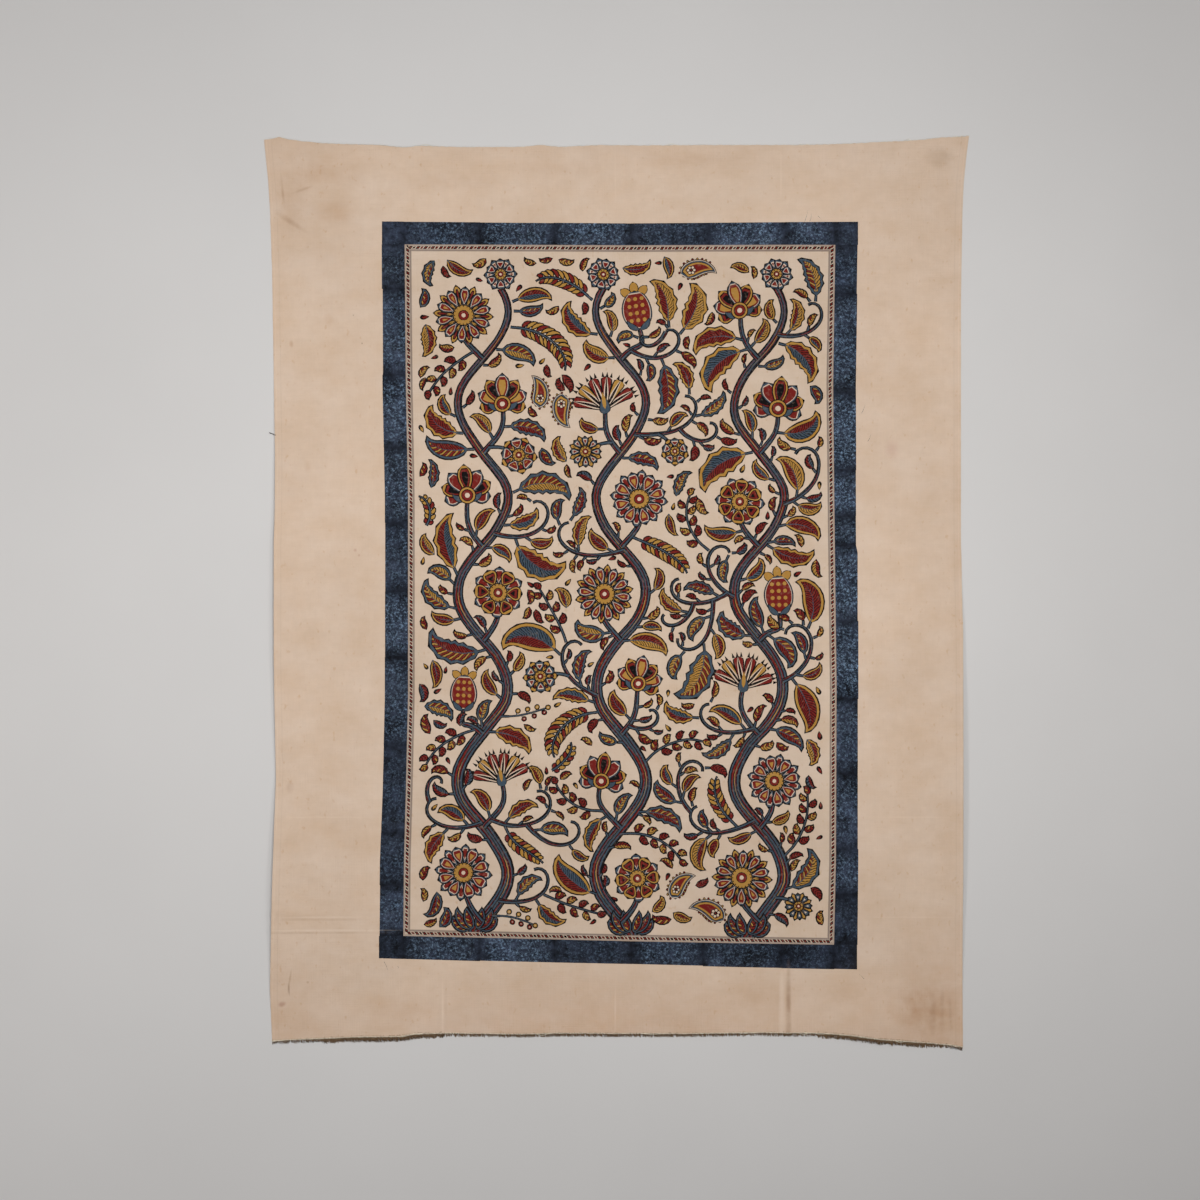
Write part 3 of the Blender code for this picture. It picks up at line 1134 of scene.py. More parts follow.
def cut_cloth(patches, ring, loose):
    """The cloth cut along the visible edges of the print: its points, and triangles with patches."""
    sheet = [("cotton", ring, None)] + list(patches)
    points, triangles = cut_along([corners for _, corners, _ in sheet], ())
    shown = lay_dyes(centres_of(points, triangles), sheet)
    beside = {}
    for triangle, number in zip(triangles, shown):
        look = None
        if number >= 0:
            dye, _, grain = sheet[number]
            look = (dye, id(grain) if grain else 0)
        for edge in edges_of(triangle):
            beside.setdefault(frozenset(edge), []).append(look)
    seams = []
    for edge, looks in beside.items():
        if len(looks) == 1 or looks[0] != looks[1]:
            a, b = edge
            seams.append((points[a], points[b]))
    points, triangles = cut_along((), loose, seams)
    shown = lay_dyes(centres_of(points, triangles), sheet)
    kept = [(triangle, sheet[number]) for triangle, number in zip(triangles, shown) if number >= 0]
    return points, kept


def linear(hex_code, tone=1.0):
    """A linear colour from an sRGB hex code, made lighter or darker by the tone."""
    colour = []
    for k in (0, 2, 4):
        value = min(1.0, int(hex_code[k:k + 2], 16) / 255.0 * tone)
        colour.append(value / 12.92 if value <= 0.04045 else ((value + 0.055) / 1.055) ** 2.4)
    return (*colour, 1.0)


def ink(dye, reverse=False):
    """A dye's colour, and whether it is a dye that wears."""
    name, tone = dye if isinstance(dye, tuple) else (dye, 1.0)
    colour = linear(DYES[name], tone)
    if reverse:
        plain = linear(DYES["cotton"])
        colour = tuple(p + (c - p) * REVERSE_SHOWS for p, c in zip(plain, colour))
    return colour, 0.0 if name in ("cotton", "field", "indigo") else 1.0


def patch_size(corners):
    """The area inside these corners, in square mm."""
    return abs(signed_size(corners)) / 2.0


def along_and_aside(points, curve):
    """For each point, how far along the curve it lies and how far to its left, in mm."""
    curve = np.array(curve)
    starts, steps = curve[:-1], np.diff(curve, axis=0)
    sizes = np.maximum(np.hypot(steps[:, 0], steps[:, 1]), 1e-6)
    offsets = points[:, None, :] - starts[None, :, :]
    shares = np.clip((offsets * steps).sum(axis=2) / sizes ** 2, 0.0, 1.0)
    gaps = offsets - shares[:, :, None] * steps
    nearest = np.argmin((gaps ** 2).sum(axis=2), axis=1)
    rows = np.arange(len(points))
    run = np.concatenate(([0.0], np.cumsum(sizes)))[nearest] + shares[rows, nearest] * sizes[nearest]
    cross = steps[nearest, 0] * offsets[rows, nearest, 1] - steps[nearest, 1] * offsets[rows, nearest, 0]
    return run, cross / sizes[nearest]


def grain_of(points, kept):
    """Where each corner of each triangle lies in its patch's grain: along, aside, kind.

    In an indigo block they are the depth of its dye, its speckle and its kind.
    """
    grains = np.zeros((len(kept), 3, 3))
    points = np.array(points)
    members = {}
    for number, (_, (_, _, grain)) in enumerate(kept):
        if grain:
            members.setdefault(id(grain), (grain, []))[1].append(number)
    triangles = np.array([triangle for triangle, _ in kept])
    for grain, numbers in members.values():
        corners = points[triangles[numbers].ravel()]
        if grain[0] == BLOCK:
            _, axis, start, stop, first, last = grain
            share = np.clip((corners[:, axis] - start) / (stop - start), 0.0, 1.0)
            run, aside = (f + (l - f) * share for f, l in zip(first, last))
        else:
            run, aside = along_and_aside(corners, grain[1])
        grains[numbers, :, 0] = run.reshape(-1, 3)
        grains[numbers, :, 1] = aside.reshape(-1, 3)
        grains[numbers, :, 2] = grain[0]
    return grains


def new_mesh(name, vertices, edges, faces):
    """A mesh with these parts."""
    mesh = bpy.data.meshes.new(name)
    mesh.from_pydata(vertices, edges, faces)
    return mesh


def new_object(name, data):
    """An object with this data, in the scene."""
    made = bpy.data.objects.new(name, data)
    bpy.context.scene.collection.objects.link(made)
    return made


def edge_faces(face, face_points, back_points):
    """Faces that join the rim of the cloth's face to the rim of its back."""
    shift = len(face_points)
    twin = {(round(x, 2), round(y, 2)): k + shift for k, (x, y) in enumerate(back_points)}
    sides = {edge: True for triangle, _ in face for edge in edges_of(triangle)}
    faces = []
    for a, b in sides:
        if (b, a) not in sides:
            low_a, low_b = (twin[tuple(round(v, 2) for v in face_points[k])] for k in (a, b))
            faces.append((a, low_a, low_b, b))
    return faces


def make_cloth():
    """The printed sheet: its face, its back and the cut edge between them."""
    ring = outline_ring()
    face_points, face = cut_cloth(marks, ring, relief_points(FACE_STEP) + crease_points())
    bold = [(dye, corners, None) for dye, corners, _ in marks if patch_size(corners) > BOLD_SIZE]
    back_points, back = cut_cloth(bold, ring, relief_points(BACK_STEP) + crease_points())
    vertices = []
    for points, level in ((face_points, 1), (back_points, 0)):
        for x, y in points:
            vertices.append((x * MM, y * MM, cloth_heights(x, y)[level] * MM))
    shift = len(face_points)
    rim = edge_faces(face, face_points, back_points)
    faces = [triangle for triangle, _ in face]
    faces += [tuple(k + shift for k in reversed(triangle)) for triangle, _ in back]
    inks = [ink(patch[0]) for _, patch in face] + [ink(patch[0], True) for _, patch in back]
    inks += [ink("cotton")] * len(rim)
    plain = np.zeros(9 * len(back) + 12 * len(rim))
    grains = np.concatenate((grain_of(face_points, face).ravel(), plain))
    mesh = new_mesh("printed_cloth", vertices, [], faces + rim)
    for name, kind, domain, key, values in (
            ("dye", "FLOAT_COLOR", "FACE", "color", [value for colour, _ in inks for value in colour]),
            ("printed", "FLOAT", "FACE", "value", [amount for _, amount in inks]),
            ("grain", "FLOAT_VECTOR", "CORNER", "vector", grains)):
        mesh.attributes.new(name, kind, domain).data.foreach_set(key, values)
    mesh.shade_smooth()
    mesh.set_sharp_from_angle(angle=math.radians(50))
    mesh.validate()
    return new_object("printed_cloth", mesh)


def add(tree, kind, inputs=None, **settings):
    """Adds a node, sets it, and fills its inputs with values or with other nodes' outputs."""
    node = tree.nodes.new(kind)
    for name, value in settings.items():
        setattr(node, name, value)
    for name, value in (inputs or {}).items():
        if isinstance(value, bpy.types.NodeSocket):
            tree.links.new(value, node.inputs[name])
        else:
            node.inputs[name].default_value = value
    return node


def maths(tree, operation, first, second=0.0):
    """One sum on numbers or other nodes' outputs."""
    return add(tree, "ShaderNodeMath", {0: first, 1: second}, operation=operation).outputs["Value"]


def vector(tree, **parts):
    """A vector from its X, Y and Z."""
    return add(tree, "ShaderNodeCombineXYZ", parts).outputs["Vector"]


def mix(tree, amount, first, second, blend_type="MIX"):
    """Two colours mixed. Inputs 6 and 7 are the node's colour sockets."""
    mixed = add(tree, "ShaderNodeMix", {"Factor": amount, 6: first, 7: second}, data_type="RGBA",
                blend_type=blend_type)
    return mixed.outputs[2]


def new_material(name):
    """A material without nodes, its tree, and the piece's own coordinates in it."""
    material = bpy.data.materials.new(name)
    material.use_nodes = True
    tree = material.node_tree
    tree.nodes.clear()
    return material, tree, add(tree, "ShaderNodeTexCoord").outputs["Object"]


def mottled(name, scale, detail, first, second, roughness, specular):
    """A matt material that varies softly between two colours."""
    material, tree, place = new_material(name)
    cloud = add(tree, "ShaderNodeTexNoise", {"Vector": place, "Scale": scale, "Detail": detail})
    shader = add(tree, "ShaderNodeBsdfPrincipled", {
        "Base Color": mix(tree, cloud.outputs["Fac"], first, second), "Roughness": roughness,
        "Specular IOR Level": specular})
    add(tree, "ShaderNodeOutputMaterial", {"Surface": shader.outputs["BSDF"]})
    return material


# Real stains, and along the fold lines painted highlight and painted shade.
STAINS_AND_FOLD_SHADE = (
    # x, y, half width, half height, turn in degrees, strength, colour
    (519, 694, 30, 26, 0, 0.30, "8A6A48"), (-520, 620, 30, 60, 0, 0.20, "9A7450"),
    (-534, 640, 3.2, 36, 6, 0.30, "8A6648"), (-502, 643, 26, 3.4, 20, 0.28, "8A6648"),
    (-522, 592, 38, 6.5, -33, 0.36, "85603F"), (-450, 606, 44, 24, 0, 0.25, "A5794F"),
    (-486, 672, 60, 34, 0, 0.16, "A5794F"), (-262, 655, 110, 22, 0, 0.16, "A17A55"),
    (-430, 668, 60, 24, 0, 0.12, "A17A55"), (-110, 676, 90, 18, 0, 0.12, "A17A55"),
    (130, 690, 120, 20, 0, 0.14, "A17A55"), (-520, 396, 5, 8, 10, 0.35, "9A6A42"),
    (-494, 200, 8, 12, 0, 0.25, "A87A50"), (-407, 397, 1.5, 1.8, 0, 0.7, "54402E"),
    (-421, 442, 1.3, 1.6, 0, 0.6, "54402E"), (-460, 436, 12, 14, 0, 0.16, "A4764E"),
    (-522, -313, 9, 13, 0, 0.30, "8A6248"), (-535, -660, 9, 6, 20, 0.55, "7E3B30"),
    (-524, -636, 2.4, 14, 4, 0.55, "5A4636"), (441, 226, 16, 22, 0, 0.22, "A86F66"),
    (-418, 66, 4, 4, 0, 0.35, "8A3328"), (-412, 58, 3, 3, 0, 0.30, "8A3328"),
    (495, -668, 70, 60, 0, 0.36, "9C7048"), (506, -676, 8, 44, 0, 0.20, "77593F"),
    (521, -664, 5, 48, 0, 0.18, "77593F"), (534, -676, 4, 40, 2, 0.18, "77593F"),
    (545, 60, 14, 520, 0, 0.10, "A17A55"), (-553, 0, 12, 760, 0, 0.16, "CFA06C"),
    (0, -730, 620, 150, 0, 0.26, "BA8A64"), (-360, -670, 90, 36, 0, 0.14, "A1764E"),
    (210, -648, 80, 30, 0, 0.14, "A1764E"), (356, -640, 70, 30, 0, 0.12, "A1764E"),
    (560, -730, 260, 260, 0, 0.30, "B07F55"), (-565, 730, 240, 220, 0, 0.10, "B88A60"),
    (-565, -730, 200, 200, 0, 0.16, "BA8A64"), (0, 735, 560, 90, 0, 0.08, "A98260"),
    # Fold lines: a pale painted highlight on one side of each crease and a darker painted shade on the
    # other.
    (264, -694, 7.0, 95, 0, 0.46, "E6D5C4"), (275, -692, 6.5, 100, 0, 0.50, "8E6E54"),
    (275, -636, 6.0, 56, 0, 0.40, "8E6E54"), (264, -640, 6.0, 46, 0, 0.36, "E6D5C4"),
    (262, -668, 22, 66, 0, 0.14, "A98566"), (-278, -668, 2.6, 62, 0, 0.42, "E6D3C0"),
    (-273, -668, 4.0, 62, 0, 0.12, "96765B"), (-2, -668, 2.2, 62, 0, 0.30, "E2CFBC"),
    (263, 660, 2.4, 62, 0, 0.26, "E2CFBC"), (-2, 660, 2.0, 62, 0, 0.2, "E2CFBC"),
    (-470, -521, 100, 2.0, 0, 0.38, "E2CFBC"), (-470, -525, 100, 3.0, 0, 0.22, "94765C"),
    (-470, -542, 150, 2.4, 0, 0.34, "E4D2C0"), (-480, -546, 150, 2.4, 0, 0.24, "8E7056"),
    (-523, -624, 2.4, 26, -9, 0.50, "8C6A4C"), (-494, -625, 3.2, 3.2, 0, 0.55, "8C6A4C"),
    (-470, -361, 100, 1.8, 0, 0.24, "E2CFBC"),
    (470, -361, 100, 1.8, 0, 0.22, "E2CFBC"), (470, -521, 100, 1.8, 0, 0.22, "E2CFBC"),
)


VEIN_STEP = 4.6  # mm from one leaf vein to the next; stripes of dye are twice as far apart
BARK_STEP = 4.4
SLUB_SIZE = 1.6  # mm, drawn coarser than the threads it stands for
ALONG_X, ALONG_Y = (0.05, 1, 1), (1, 0.05, 1)  # noise drawn out along one of the cloth's ways


def cotton_material():
    """Plain-weave cotton, mordant and indigo dyed: matt, a little uneven in tone, slubby."""
    material, tree, place = new_material("dyed_plain_weave_cotton")

    def blot(size_mm, detail, low, high, to_low, to_high, stretch=(1, 1, 1), roughness=0.5):
        """Noise with features of this size, mapped from one range to another."""
        laid = add(tree, "ShaderNodeMapping", {"Vector": place, "Scale": stretch}).outputs["Vector"]
        grain = add(tree, "ShaderNodeTexNoise", {
            "Vector": laid, "Scale": 1000.0 / size_mm, "Detail": detail, "Roughness": roughness})
        return add(tree, "ShaderNodeMapRange", {
            "Value": grain.outputs["Fac"], "From Min": low, "From Max": high,
            "To Min": to_low, "To Max": to_high}).outputs["Result"]

    def attribute(name, output):
        return add(tree, "ShaderNodeAttribute", attribute_name=name).outputs[output]

    def times(first, second):
        return maths(tree, "MULTIPLY", first, second)

    def tinted(first, second):
        """A colour multiplied by another, or by a plain value."""
        if isinstance(second, bpy.types.NodeSocket):
            grey = add(tree, "ShaderNodeCombineColor", {"Red": second, "Green": second, "Blue": second})
            second = grey.outputs["Color"]
        return mix(tree, 1.0, first, second, "MULTIPLY")

    def lines(value, step, share):
        """1 on lines this far apart, over this share of the way from one to the next."""
        return maths(tree, "LESS_THAN", maths(tree, "FRACT", maths(tree, "DIVIDE", value, step)), share)

    def is_kind(value, within):
        """1 where the grain's kind is this one, give or take."""
        same = add(tree, "ShaderNodeMath", {0: kind, 1: value, 2: within}, operation="COMPARE")
        return same.outputs["Value"]

    colour = attribute("dye", "Color")
    printed = attribute("printed", "Fac")
    grain = add(tree, "ShaderNodeSeparateXYZ", {"Vector": attribute("grain", "Vector")}).outputs
    kind = grain["Z"]
    # Leaf veins with stripes of madder between them, and bark lines along the stems.
    shake = blot(7.0, 1.0, 0.3, 0.7, -1.0, 1.0)
    run = maths(tree, "ADD", grain["X"], shake)
    aside = maths(tree, "ADD", grain["Y"], times(shake, 0.35))
    slanted = maths(tree, "SUBTRACT", run, times(maths(tree, "ABSOLUTE", aside), 0.9))
    is_leaf = is_kind(1.5, 0.6)
    is_striped = maths(tree, "GREATER_THAN", times(kind, is_leaf), 1.5)
    stripe = times(lines(slanted, 2.0 * VEIN_STEP, 0.5), is_striped)
    colour = mix(tree, stripe, colour, linear(DYES["madder"]))
    vein = times(lines(slanted, VEIN_STEP, 0.38), is_leaf)
    bark = times(lines(aside, BARK_STEP, 0.38), is_kind(BARK, 0.4))
    colour = mix(tree, times(maths(tree, "ADD", vein, bark), 0.9), colour, linear(DYES["black"]))
    # The indigo blocks: deep where they overlap, cloudy over 60 and 12 mm, pale crackle 4 mm across.
    is_block = maths(tree, "GREATER_THAN", kind, 3.5)
    broad = blot(60.0, 2.0, 0.3, 0.7, 0.36, 1.56)
    clouds = times(broad, blot(12.0, 5.0, 0.3, 0.7, 0.10, 1.75, roughness=0.7))
    uneven = times(is_block, maths(tree, "SUBTRACT", times(clouds, grain["X"]), 1.0))
    colour = tinted(colour, maths(tree, "ADD", 1.0, uneven))
    crackle = times(blot(4.0, 5.0, 0.51, 0.68, 0.0, 1.6, roughness=0.9), times(grain["Y"], is_block))
    colour = mix(tree, crackle, colour, linear("7E9AB8"))
    # The wash took unevenly, so plain cotton shows through the dye in small flecks.
    thin = times(blot(5.0, 4.0, 0.54, 0.72, 0.0, 0.12), printed)
    colour = mix(tree, thin, colour, linear("C4AD99"))
    # Broad changes of tone in the cloth, then its slubs.
    colour = tinted(colour, blot(260.0, 2.0, 0.3, 0.7, 0.96, 1.04))
    colour = tinted(colour, blot(15.0, 3.0, 0.3, 0.7, 0.985, 1.02))
    for stretch in (ALONG_X, ALONG_Y):
        colour = tinted(colour, blot(SLUB_SIZE, 1.0, 0.3, 0.7, 0.99, 1.01, stretch))
    # Age has toned it in tan clouds 60 mm across and small tan spots.
    clouded = blot(60.0, 6.0, 0.34, 0.68, 0.0, 1.0, (0.7, 1, 1), 0.65)
    colour = mix(tree, clouded, colour, linear("F6F0E8"), "MULTIPLY")
    spotted = blot(7.0, 3.0, 0.64, 0.76, 0.0, 0.6, (1, 0.6, 1))
    colour = mix(tree, spotted, colour, linear("EEDFCE"), "MULTIPLY")
    # Brown stains, and the painted highlights and painted shade of the fold lines, at their places,
    # broken up by noise.
    ragged = blot(22.0, 3.0, 0.35, 0.65, 0.5, 1.0)
    for x, y, half_width, half_height, turn, strength, stain_and_fold_shade_colour in STAINS_AND_FOLD_SHADE:
        shaped = add(tree, "ShaderNodeMapping", {
            "Vector": place, "Location": (x * MM, y * MM, 0), "Rotation": (0, 0, math.radians(turn)),
            "Scale": (half_width * MM, half_height * MM, 1)}, vector_type="TEXTURE")
        far = add(tree, "ShaderNodeVectorMath", {0: shaped.outputs["Vector"]}, operation="LENGTH")
        near = add(tree, "ShaderNodeMapRange", {
            "Value": far.outputs["Value"], "From Min": 0.1, "From Max": 1.0,
            "To Min": strength, "To Max": 0.0}, interpolation_type="SMOOTHSTEP")
        colour = mix(tree, times(near.outputs["Result"], ragged), colour, linear(stain_and_fold_shade_colour))
    # The cloth undulates a little over 90 mm, under the relief of its slubs.
    swell = add(tree, "ShaderNodeBump", {
        "Strength": 0.5, "Distance": 0.004, "Height": blot(90.0, 2.0, 0.2, 0.8, 0.0, 1.0)})
    slubs = [blot(SLUB_SIZE, 1.0, 0.3, 0.7, 0.0, 1.0, stretch) for stretch in (ALONG_X, ALONG_Y)]
    bump = add(tree, "ShaderNodeBump", {
        "Strength": 0.35, "Distance": 0.0003, "Height": maths(tree, "ADD", *slubs),
        "Normal": swell.outputs["Normal"]})
    shader = add(tree, "ShaderNodeBsdfPrincipled", {
        "Base Color": colour, "Roughness": 0.92, "Specular IOR Level": 0.12, "Sheen Weight": 0.03,
        "Sheen Roughness": 0.5, "Normal": bump.outputs["Normal"]})
    add(tree, "ShaderNodeOutputMaterial", {"Surface": shader.outputs["BSDF"]})
    return material


def floor_material():
    """Matt painted board: pale grey, hardly varied."""
    return mottled("pale_painted_board", 3.0, 4.0, linear("C9C8C7"), linear("D0CFCE"), 0.9, 0.2)


def yarn_material(name, hex_code):
    """Loose cotton yarn: fibrous and matt, lighter where it frays."""
    return mottled(name, 160.0, 2.0, linear(hex_code, 0.8), linear(hex_code, 1.15), 0.95, 0.1)


def make_floor():
    """A flat floor, 18 m across."""
    half = 9.0
    corners = [(-half, -half, 0), (half, -half, 0), (half, half, 0), (-half, half, 0)]
    floor = new_object("pale_floor", new_mesh("pale_floor", corners, [], [(0, 1, 2, 3)]))
    floor.data.materials.append(floor_material())
    return floor


def add_light(name, place, aim, size, power, colour):
    """A soft square light that the camera doesn't see."""
    light = bpy.data.lights.new(name, "AREA")
    light.shape = "SQUARE"
    light.size = size
    light.energy = power
    light.color = linear(colour)[:3]
    lamp = new_object(name, light)
    lamp.visible_camera = False
    lamp.location = place
    lamp.rotation_euler = (Vector(aim) - Vector(place)).to_track_quat("-Z", "Y").to_euler()


def set_up_light_and_camera():
    """A pale studio, and a camera straight above the cloth."""
    scene = bpy.context.scene
    scene.world = bpy.data.worlds.new("studio")
    scene.world.use_nodes = True
    background = scene.world.node_tree.nodes["Background"].inputs
    background["Color"].default_value = linear("F2F2F4")
    background["Strength"].default_value = 0.177
    # Low lights to each side give the thin shadows along the raised edges, and one above fills them.
    add_light("left", (-2.75, -0.05, 1.96), (1.36, 0.16, 0), 0.45, 36.2, "FFFBF8")
    add_light("right", (2.64, 0.27, 1.95), (-1.45, -0.42, 0), 0.45, 27.8, "FFFBF8")
    add_light("fill", (0.15, 0.19, 1.67), (-0.87, 0.2, 0), 1.2, 20.7, "FFFEFD")
    # Turned away from the cloth, these six light nothing nearer than 1.4 m, and keep the floor pale.
    for k in range(6):
        across, up = math.cos(math.pi * k / 3), math.sin(math.pi * k / 3)
        place, aim = (2.7 * across, 2.7 * up, 3.0), (9.6 * across, 9.6 * up, 0)
        add_light(f"floor_{k}", place, aim, 2.0, 75.0, "FFFEFD")
    scene.view_settings.view_transform = "Standard"
    # The photo's frame is 1200 pixels at 1.6 mm, with its middle a little off the cloth's.
    camera = bpy.data.cameras.new("camera")
    camera.sensor_width = 36.0
    camera.lens = 75.0
    camera.clip_end = 50.0
    viewer = new_object("camera", camera)
    viewer.location = (-0.0264, -0.0136, 4.0)
    scene.camera = viewer


def new_tree(name, sockets):
    """An empty Geometry Nodes tree with these named inputs."""
    tree = bpy.data.node_groups.new(name, "GeometryNodeTree")
    tree.is_modifier = True
    tree.interface.new_socket("Geometry", in_out="INPUT", socket_type="NodeSocketGeometry")
    for label, kind in sockets:
        tree.interface.new_socket(label, in_out="INPUT", socket_type=kind)
    tree.interface.new_socket("Geometry", in_out="OUTPUT", socket_type="NodeSocketGeometry")
    return tree


def finish_tree(tree, geometry, material):
    """Ends a tree: real geometry in one material."""
    whole = add(tree, "GeometryNodeRealizeInstances", {"Geometry": geometry}).outputs["Geometry"]
    painted = add(tree, "GeometryNodeSetMaterial", {"Geometry": whole, "Material": material})
    add(tree, "NodeGroupOutput", {"Geometry": painted.outputs["Geometry"]})
    return tree


def tube_along(tree, curve, radius, sides):
    """A closed tube along a curve."""
    ring = add(tree, "GeometryNodeCurvePrimitiveCircle", {"Resolution": sides, "Radius": radius})
    return add(tree, "GeometryNodeCurveToMesh", {
        "Curve": curve, "Profile Curve": ring.outputs["Curve"], "Fill Caps": True}).outputs["Mesh"]


YARN_FLOOR = 0.15  # mm above the surface; no yarn goes below it


def yarn_end_tree():
    """Short bent yarns set along a line, pointing to its right, none of them below the surface."""
    tree = new_tree("yarn_ends", (
        ("Spacing", "NodeSocketFloat"), ("Length", "NodeSocketFloat"), ("Droop", "NodeSocketFloat"),
        ("Spread", "NodeSocketFloat"), ("Radius", "NodeSocketFloat"), ("Seed", "NodeSocketInt"),
        ("Material", "NodeSocketMaterial")))
    given = add(tree, "NodeGroupInput").outputs
    rail = add(tree, "GeometryNodeMeshToCurve", {"Mesh": given["Geometry"]}).outputs["Curve"]
    spots = add(tree, "GeometryNodeResampleCurve", {
        "Curve": rail, "Length": given["Spacing"]}, mode="LENGTH")
    tip = vector(tree, X=0.2, Y=-1.0, Z=maths(tree, "MULTIPLY", given["Droop"], -1.0))
    yarn = add(tree, "GeometryNodeCurveQuadraticBezier", {
        "Resolution": 3, "Start": (0.0, 0.3, 0.0), "Middle": (0.0, -0.5, 0.05), "End": tip})
    tube = tube_along(tree, yarn.outputs["Curve"], given["Radius"], 3)
    heading = add(tree, "GeometryNodeInputTangent").outputs["Tangent"]
    faced = add(tree, "FunctionNodeAlignRotationToVector", {"Vector": heading}, axis="X", pivot_axis="Z")
    turn = add(tree, "FunctionNodeRandomValue", {
        "Min": vector(tree, X=-0.25, Z=maths(tree, "MULTIPLY", given["Spread"], -1.0)),
        "Max": vector(tree, X=0.15, Z=given["Spread"]),
        "Seed": given["Seed"]}, data_type="FLOAT_VECTOR").outputs[0]
    turned = add(tree, "FunctionNodeRotateRotation", {
        "Rotation": faced.outputs["Rotation"], "Rotate By": turn}, rotation_space="LOCAL")
    share = add(tree, "FunctionNodeRandomValue", {2: 0.35, 3: 1.25, "Seed": given["Seed"]}).outputs[1]
    placed = add(tree, "GeometryNodeInstanceOnPoints", {
        "Points": spots.outputs["Curve"], "Instance": tube, "Rotation": turned.outputs["Rotation"],
        "Scale": maths(tree, "MULTIPLY", share, given["Length"])}).outputs["Instances"]
    whole = add(tree, "GeometryNodeRealizeInstances", {"Geometry": placed}).outputs["Geometry"]
    where = add(tree, "ShaderNodeSeparateXYZ", {
        "Vector": add(tree, "GeometryNodeInputPosition").outputs["Position"]}).outputs
    kept = vector(tree, X=where["X"], Y=where["Y"], Z=maths(tree, "MAXIMUM", where["Z"], YARN_FLOOR * MM))
    clear = add(tree, "GeometryNodeSetPosition", {"Geometry": whole, "Position": kept})
    return finish_tree(tree, clear.outputs["Geometry"], given["Material"])


def thread_tree():
    """A round thread along each line."""
    tree = new_tree("threads", (("Radius", "NodeSocketFloat"), ("Material", "NodeSocketMaterial")))
    given = add(tree, "NodeGroupInput").outputs
    rail = add(tree, "GeometryNodeMeshToCurve", {"Mesh": given["Geometry"]}).outputs["Curve"]
    return finish_tree(tree, tube_along(tree, rail, given["Radius"], 5), given["Material"])


def along_lines(name, lines, tree, values):
    """A plain mesh made by the tree along these lines, given as points in mm."""
    vertices = []
    edges = []
    for line in lines:
        first = len(vertices)
        vertices.extend(tuple(v * MM for v in point) for point in line)
        edges.extend((k, k + 1) for k in range(first, len(vertices) - 1))
    made = new_object(name, new_mesh(name, vertices, edges, []))
    modifier = made.modifiers.new("nodes", "NODES")
    modifier.node_group = tree
    for item in tree.interface.items_tree:
        if item.item_type == "SOCKET" and item.in_out == "INPUT" and item.name in values:
            modifier[item.identifier] = values[item.name]
    evaluated = made.evaluated_get(bpy.context.evaluated_depsgraph_get())
    plain = bpy.data.meshes.new_from_object(evaluated)
    made.modifiers.clear()
    made.data = plain
    plain.name = name
    return made


END_INSET = 0.6  # mm; how far inside the torn ends their yarns start
LOWER_MARGINS = (13.5, 10.5)  # mm; the lower end is this much narrower at left and right


def end_line(edge, share, start, stop):
    """The line of a torn end, at a share of the cloth's thickness, with the outside on its right."""
    line = []
    for k in range(int(start / END_STEP), int(stop / END_STEP) + 1):
        x = END_STEP * k - BOX_WIDTH / 2.0
        if edge == "lower":
            x = max(-BOX_WIDTH / 2.0 + LOWER_MARGINS[0], min(BOX_WIDTH / 2.0 - LOWER_MARGINS[1], x))
            y = along(LOWER_END, x + BOX_WIDTH / 2.0) - BOX_LENGTH / 2.0 + END_INSET
        else:
            y = BOX_LENGTH / 2.0 - along(UPPER_END, x + BOX_WIDTH / 2.0) - END_INSET
        if line and x == line[-1][0]:
            continue
        line.append((x, y, part_way(*cloth_heights(x, y), share)))
    return line if edge == "lower" else line[::-1]


LOOSE_YARNS = (
    # threads that have come away along the torn ends: end, x, length
    ("upper", 466, 12), ("upper", 549, 14), ("upper", 543, 9), ("upper", -310, 30),
    ("upper", 90, 22), ("lower", -548, 12), ("lower", -540, 16), ("lower", -330, 40),
    ("lower", -120, 34), ("lower", 60, 46), ("lower", 210, 30), ("lower", 330, 38),
    ("lower", 450, 28), ("lower", 300, 24), ("upper", 300, 18),
)
YARN_ENDS = (
    # name, runs, share of the thickness, spacing, length, droop, spread, radius, yarn
    ("upper_yarn_ends", (("upper", 0.0, BOX_WIDTH),), 0.8, 1.1, 1.5, 0.1, 0.7, 0.10, "pale"),
    # Pale undyed yarn along the lower end's edge. Its pale colour also paints the bright highlight line
    # along that edge.
    ("lower_yarn_ends", (("lower", 0.0, BOX_WIDTH),), 1.0, 0.55, 1.3, 0.0, 0.4, 0.2, "pale"),
    # The two rows below hang dark yarn under the lower end as painted shade for the shadow beneath it. It
    # is longer where the end is raised.
    ("lower_yarn_painted_shade", (("lower", 0.0, BOX_WIDTH),), 0.25, 0.40, 5.2, 0.5, 0.25, 0.10, "shade_dark"),
    ("raised_yarn_painted_shade", (("lower", 95.0, 285.0), ("lower", 885.0, 1075.0)), 0.15, 0.4, 7.2, 0.5, 0.2,
     0.08, "shade_dark"),
)
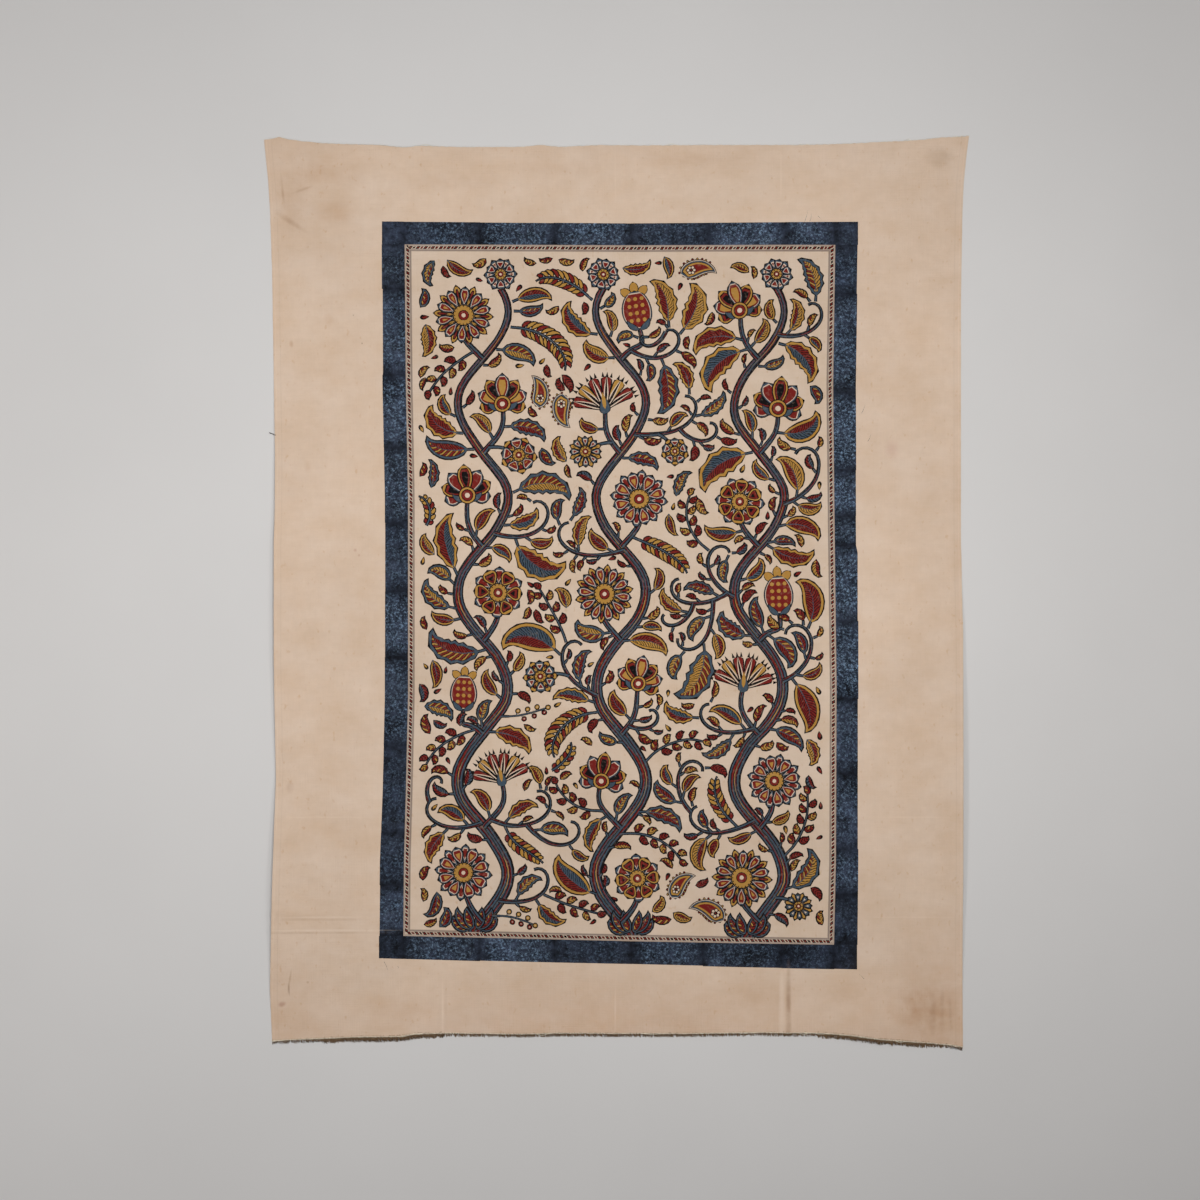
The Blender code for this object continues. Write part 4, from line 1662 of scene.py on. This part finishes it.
STRAY_THREAD = (
    (-545.0, 250.0, 3.2), (-548.0, 250.6, 3.6), (-550.6, 252.2, 3.0), (-553.0, 252.6, 2.0),
    (-555.0, 254.4, 1.2),
)


def loose_line(edge, x, long):
    """One loose yarn, as a wavering line beside a torn end."""
    out, table = (-1, LOWER_END) if edge == "lower" else (1, UPPER_END)
    drift = hand.uniform(0.6, 1.8)
    phase = hand.uniform(0, 6.28)
    line = []
    for k in range(15):
        t = k / 14
        px = x + long * (t - 0.5)
        py = out * (BOX_LENGTH / 2.0 - along(table, max(13, min(1118, px + BOX_WIDTH / 2.0))))
        away = drift * math.sin(math.pi * t) * (1.2 + math.sin(7.0 * t + phase)) - 0.5
        line.append((px, py + out * away, part_way(*cloth_heights(px, py - out), 0.6) + 0.25))
    return line


def fray():
    """Yarn ends along both torn ends, and the threads that have come loose."""
    yarns = {
        "pale": yarn_material("loose_undyed_cotton_yarn", "F0DDC9"),
        # Dark yarn that paints the shade under the lower end.
        "shade_dark": yarn_material("cotton_yarn_painted_shade", "7A644E"),
        "dark": yarn_material("dark_cotton_thread", "3A3230"),
    }
    ends = yarn_end_tree()
    threads = thread_tree()
    made = []
    for name, runs, share, spacing, length, droop, spread, radius, yarn in YARN_ENDS:
        lines = [end_line(edge, share, start, stop) for edge, start, stop in runs]
        made.append(along_lines(name, lines, ends, {
            "Spacing": spacing * MM, "Length": length * MM, "Droop": droop, "Spread": spread,
            "Radius": radius, "Seed": len(made) + 3, "Material": yarns[yarn]}))
    loose = [loose_line(*row) for row in LOOSE_YARNS]
    for name, lines, radius, yarn in (
            ("loose_yarn", loose, 0.25, "pale"), ("dark_thread", [STRAY_THREAD], 0.55, "dark")):
        made.append(along_lines(name, lines, threads, {"Radius": radius * MM, "Material": yarns[yarn]}))
    return made


def build():
    """The whole scene: studio, floor, printed cloth and its loose yarns."""
    for old in list(bpy.data.objects):
        if old.type in ("CAMERA", "LIGHT"):
            bpy.data.objects.remove(old, do_unlink=True)
    set_up_light_and_camera()
    make_floor()
    cloth = make_cloth()
    cloth.data.materials.append(cotton_material())
    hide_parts("cotton_panel")
    yarns = fray()
    for piece in [cloth] + yarns:
        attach(piece, "root")


build()
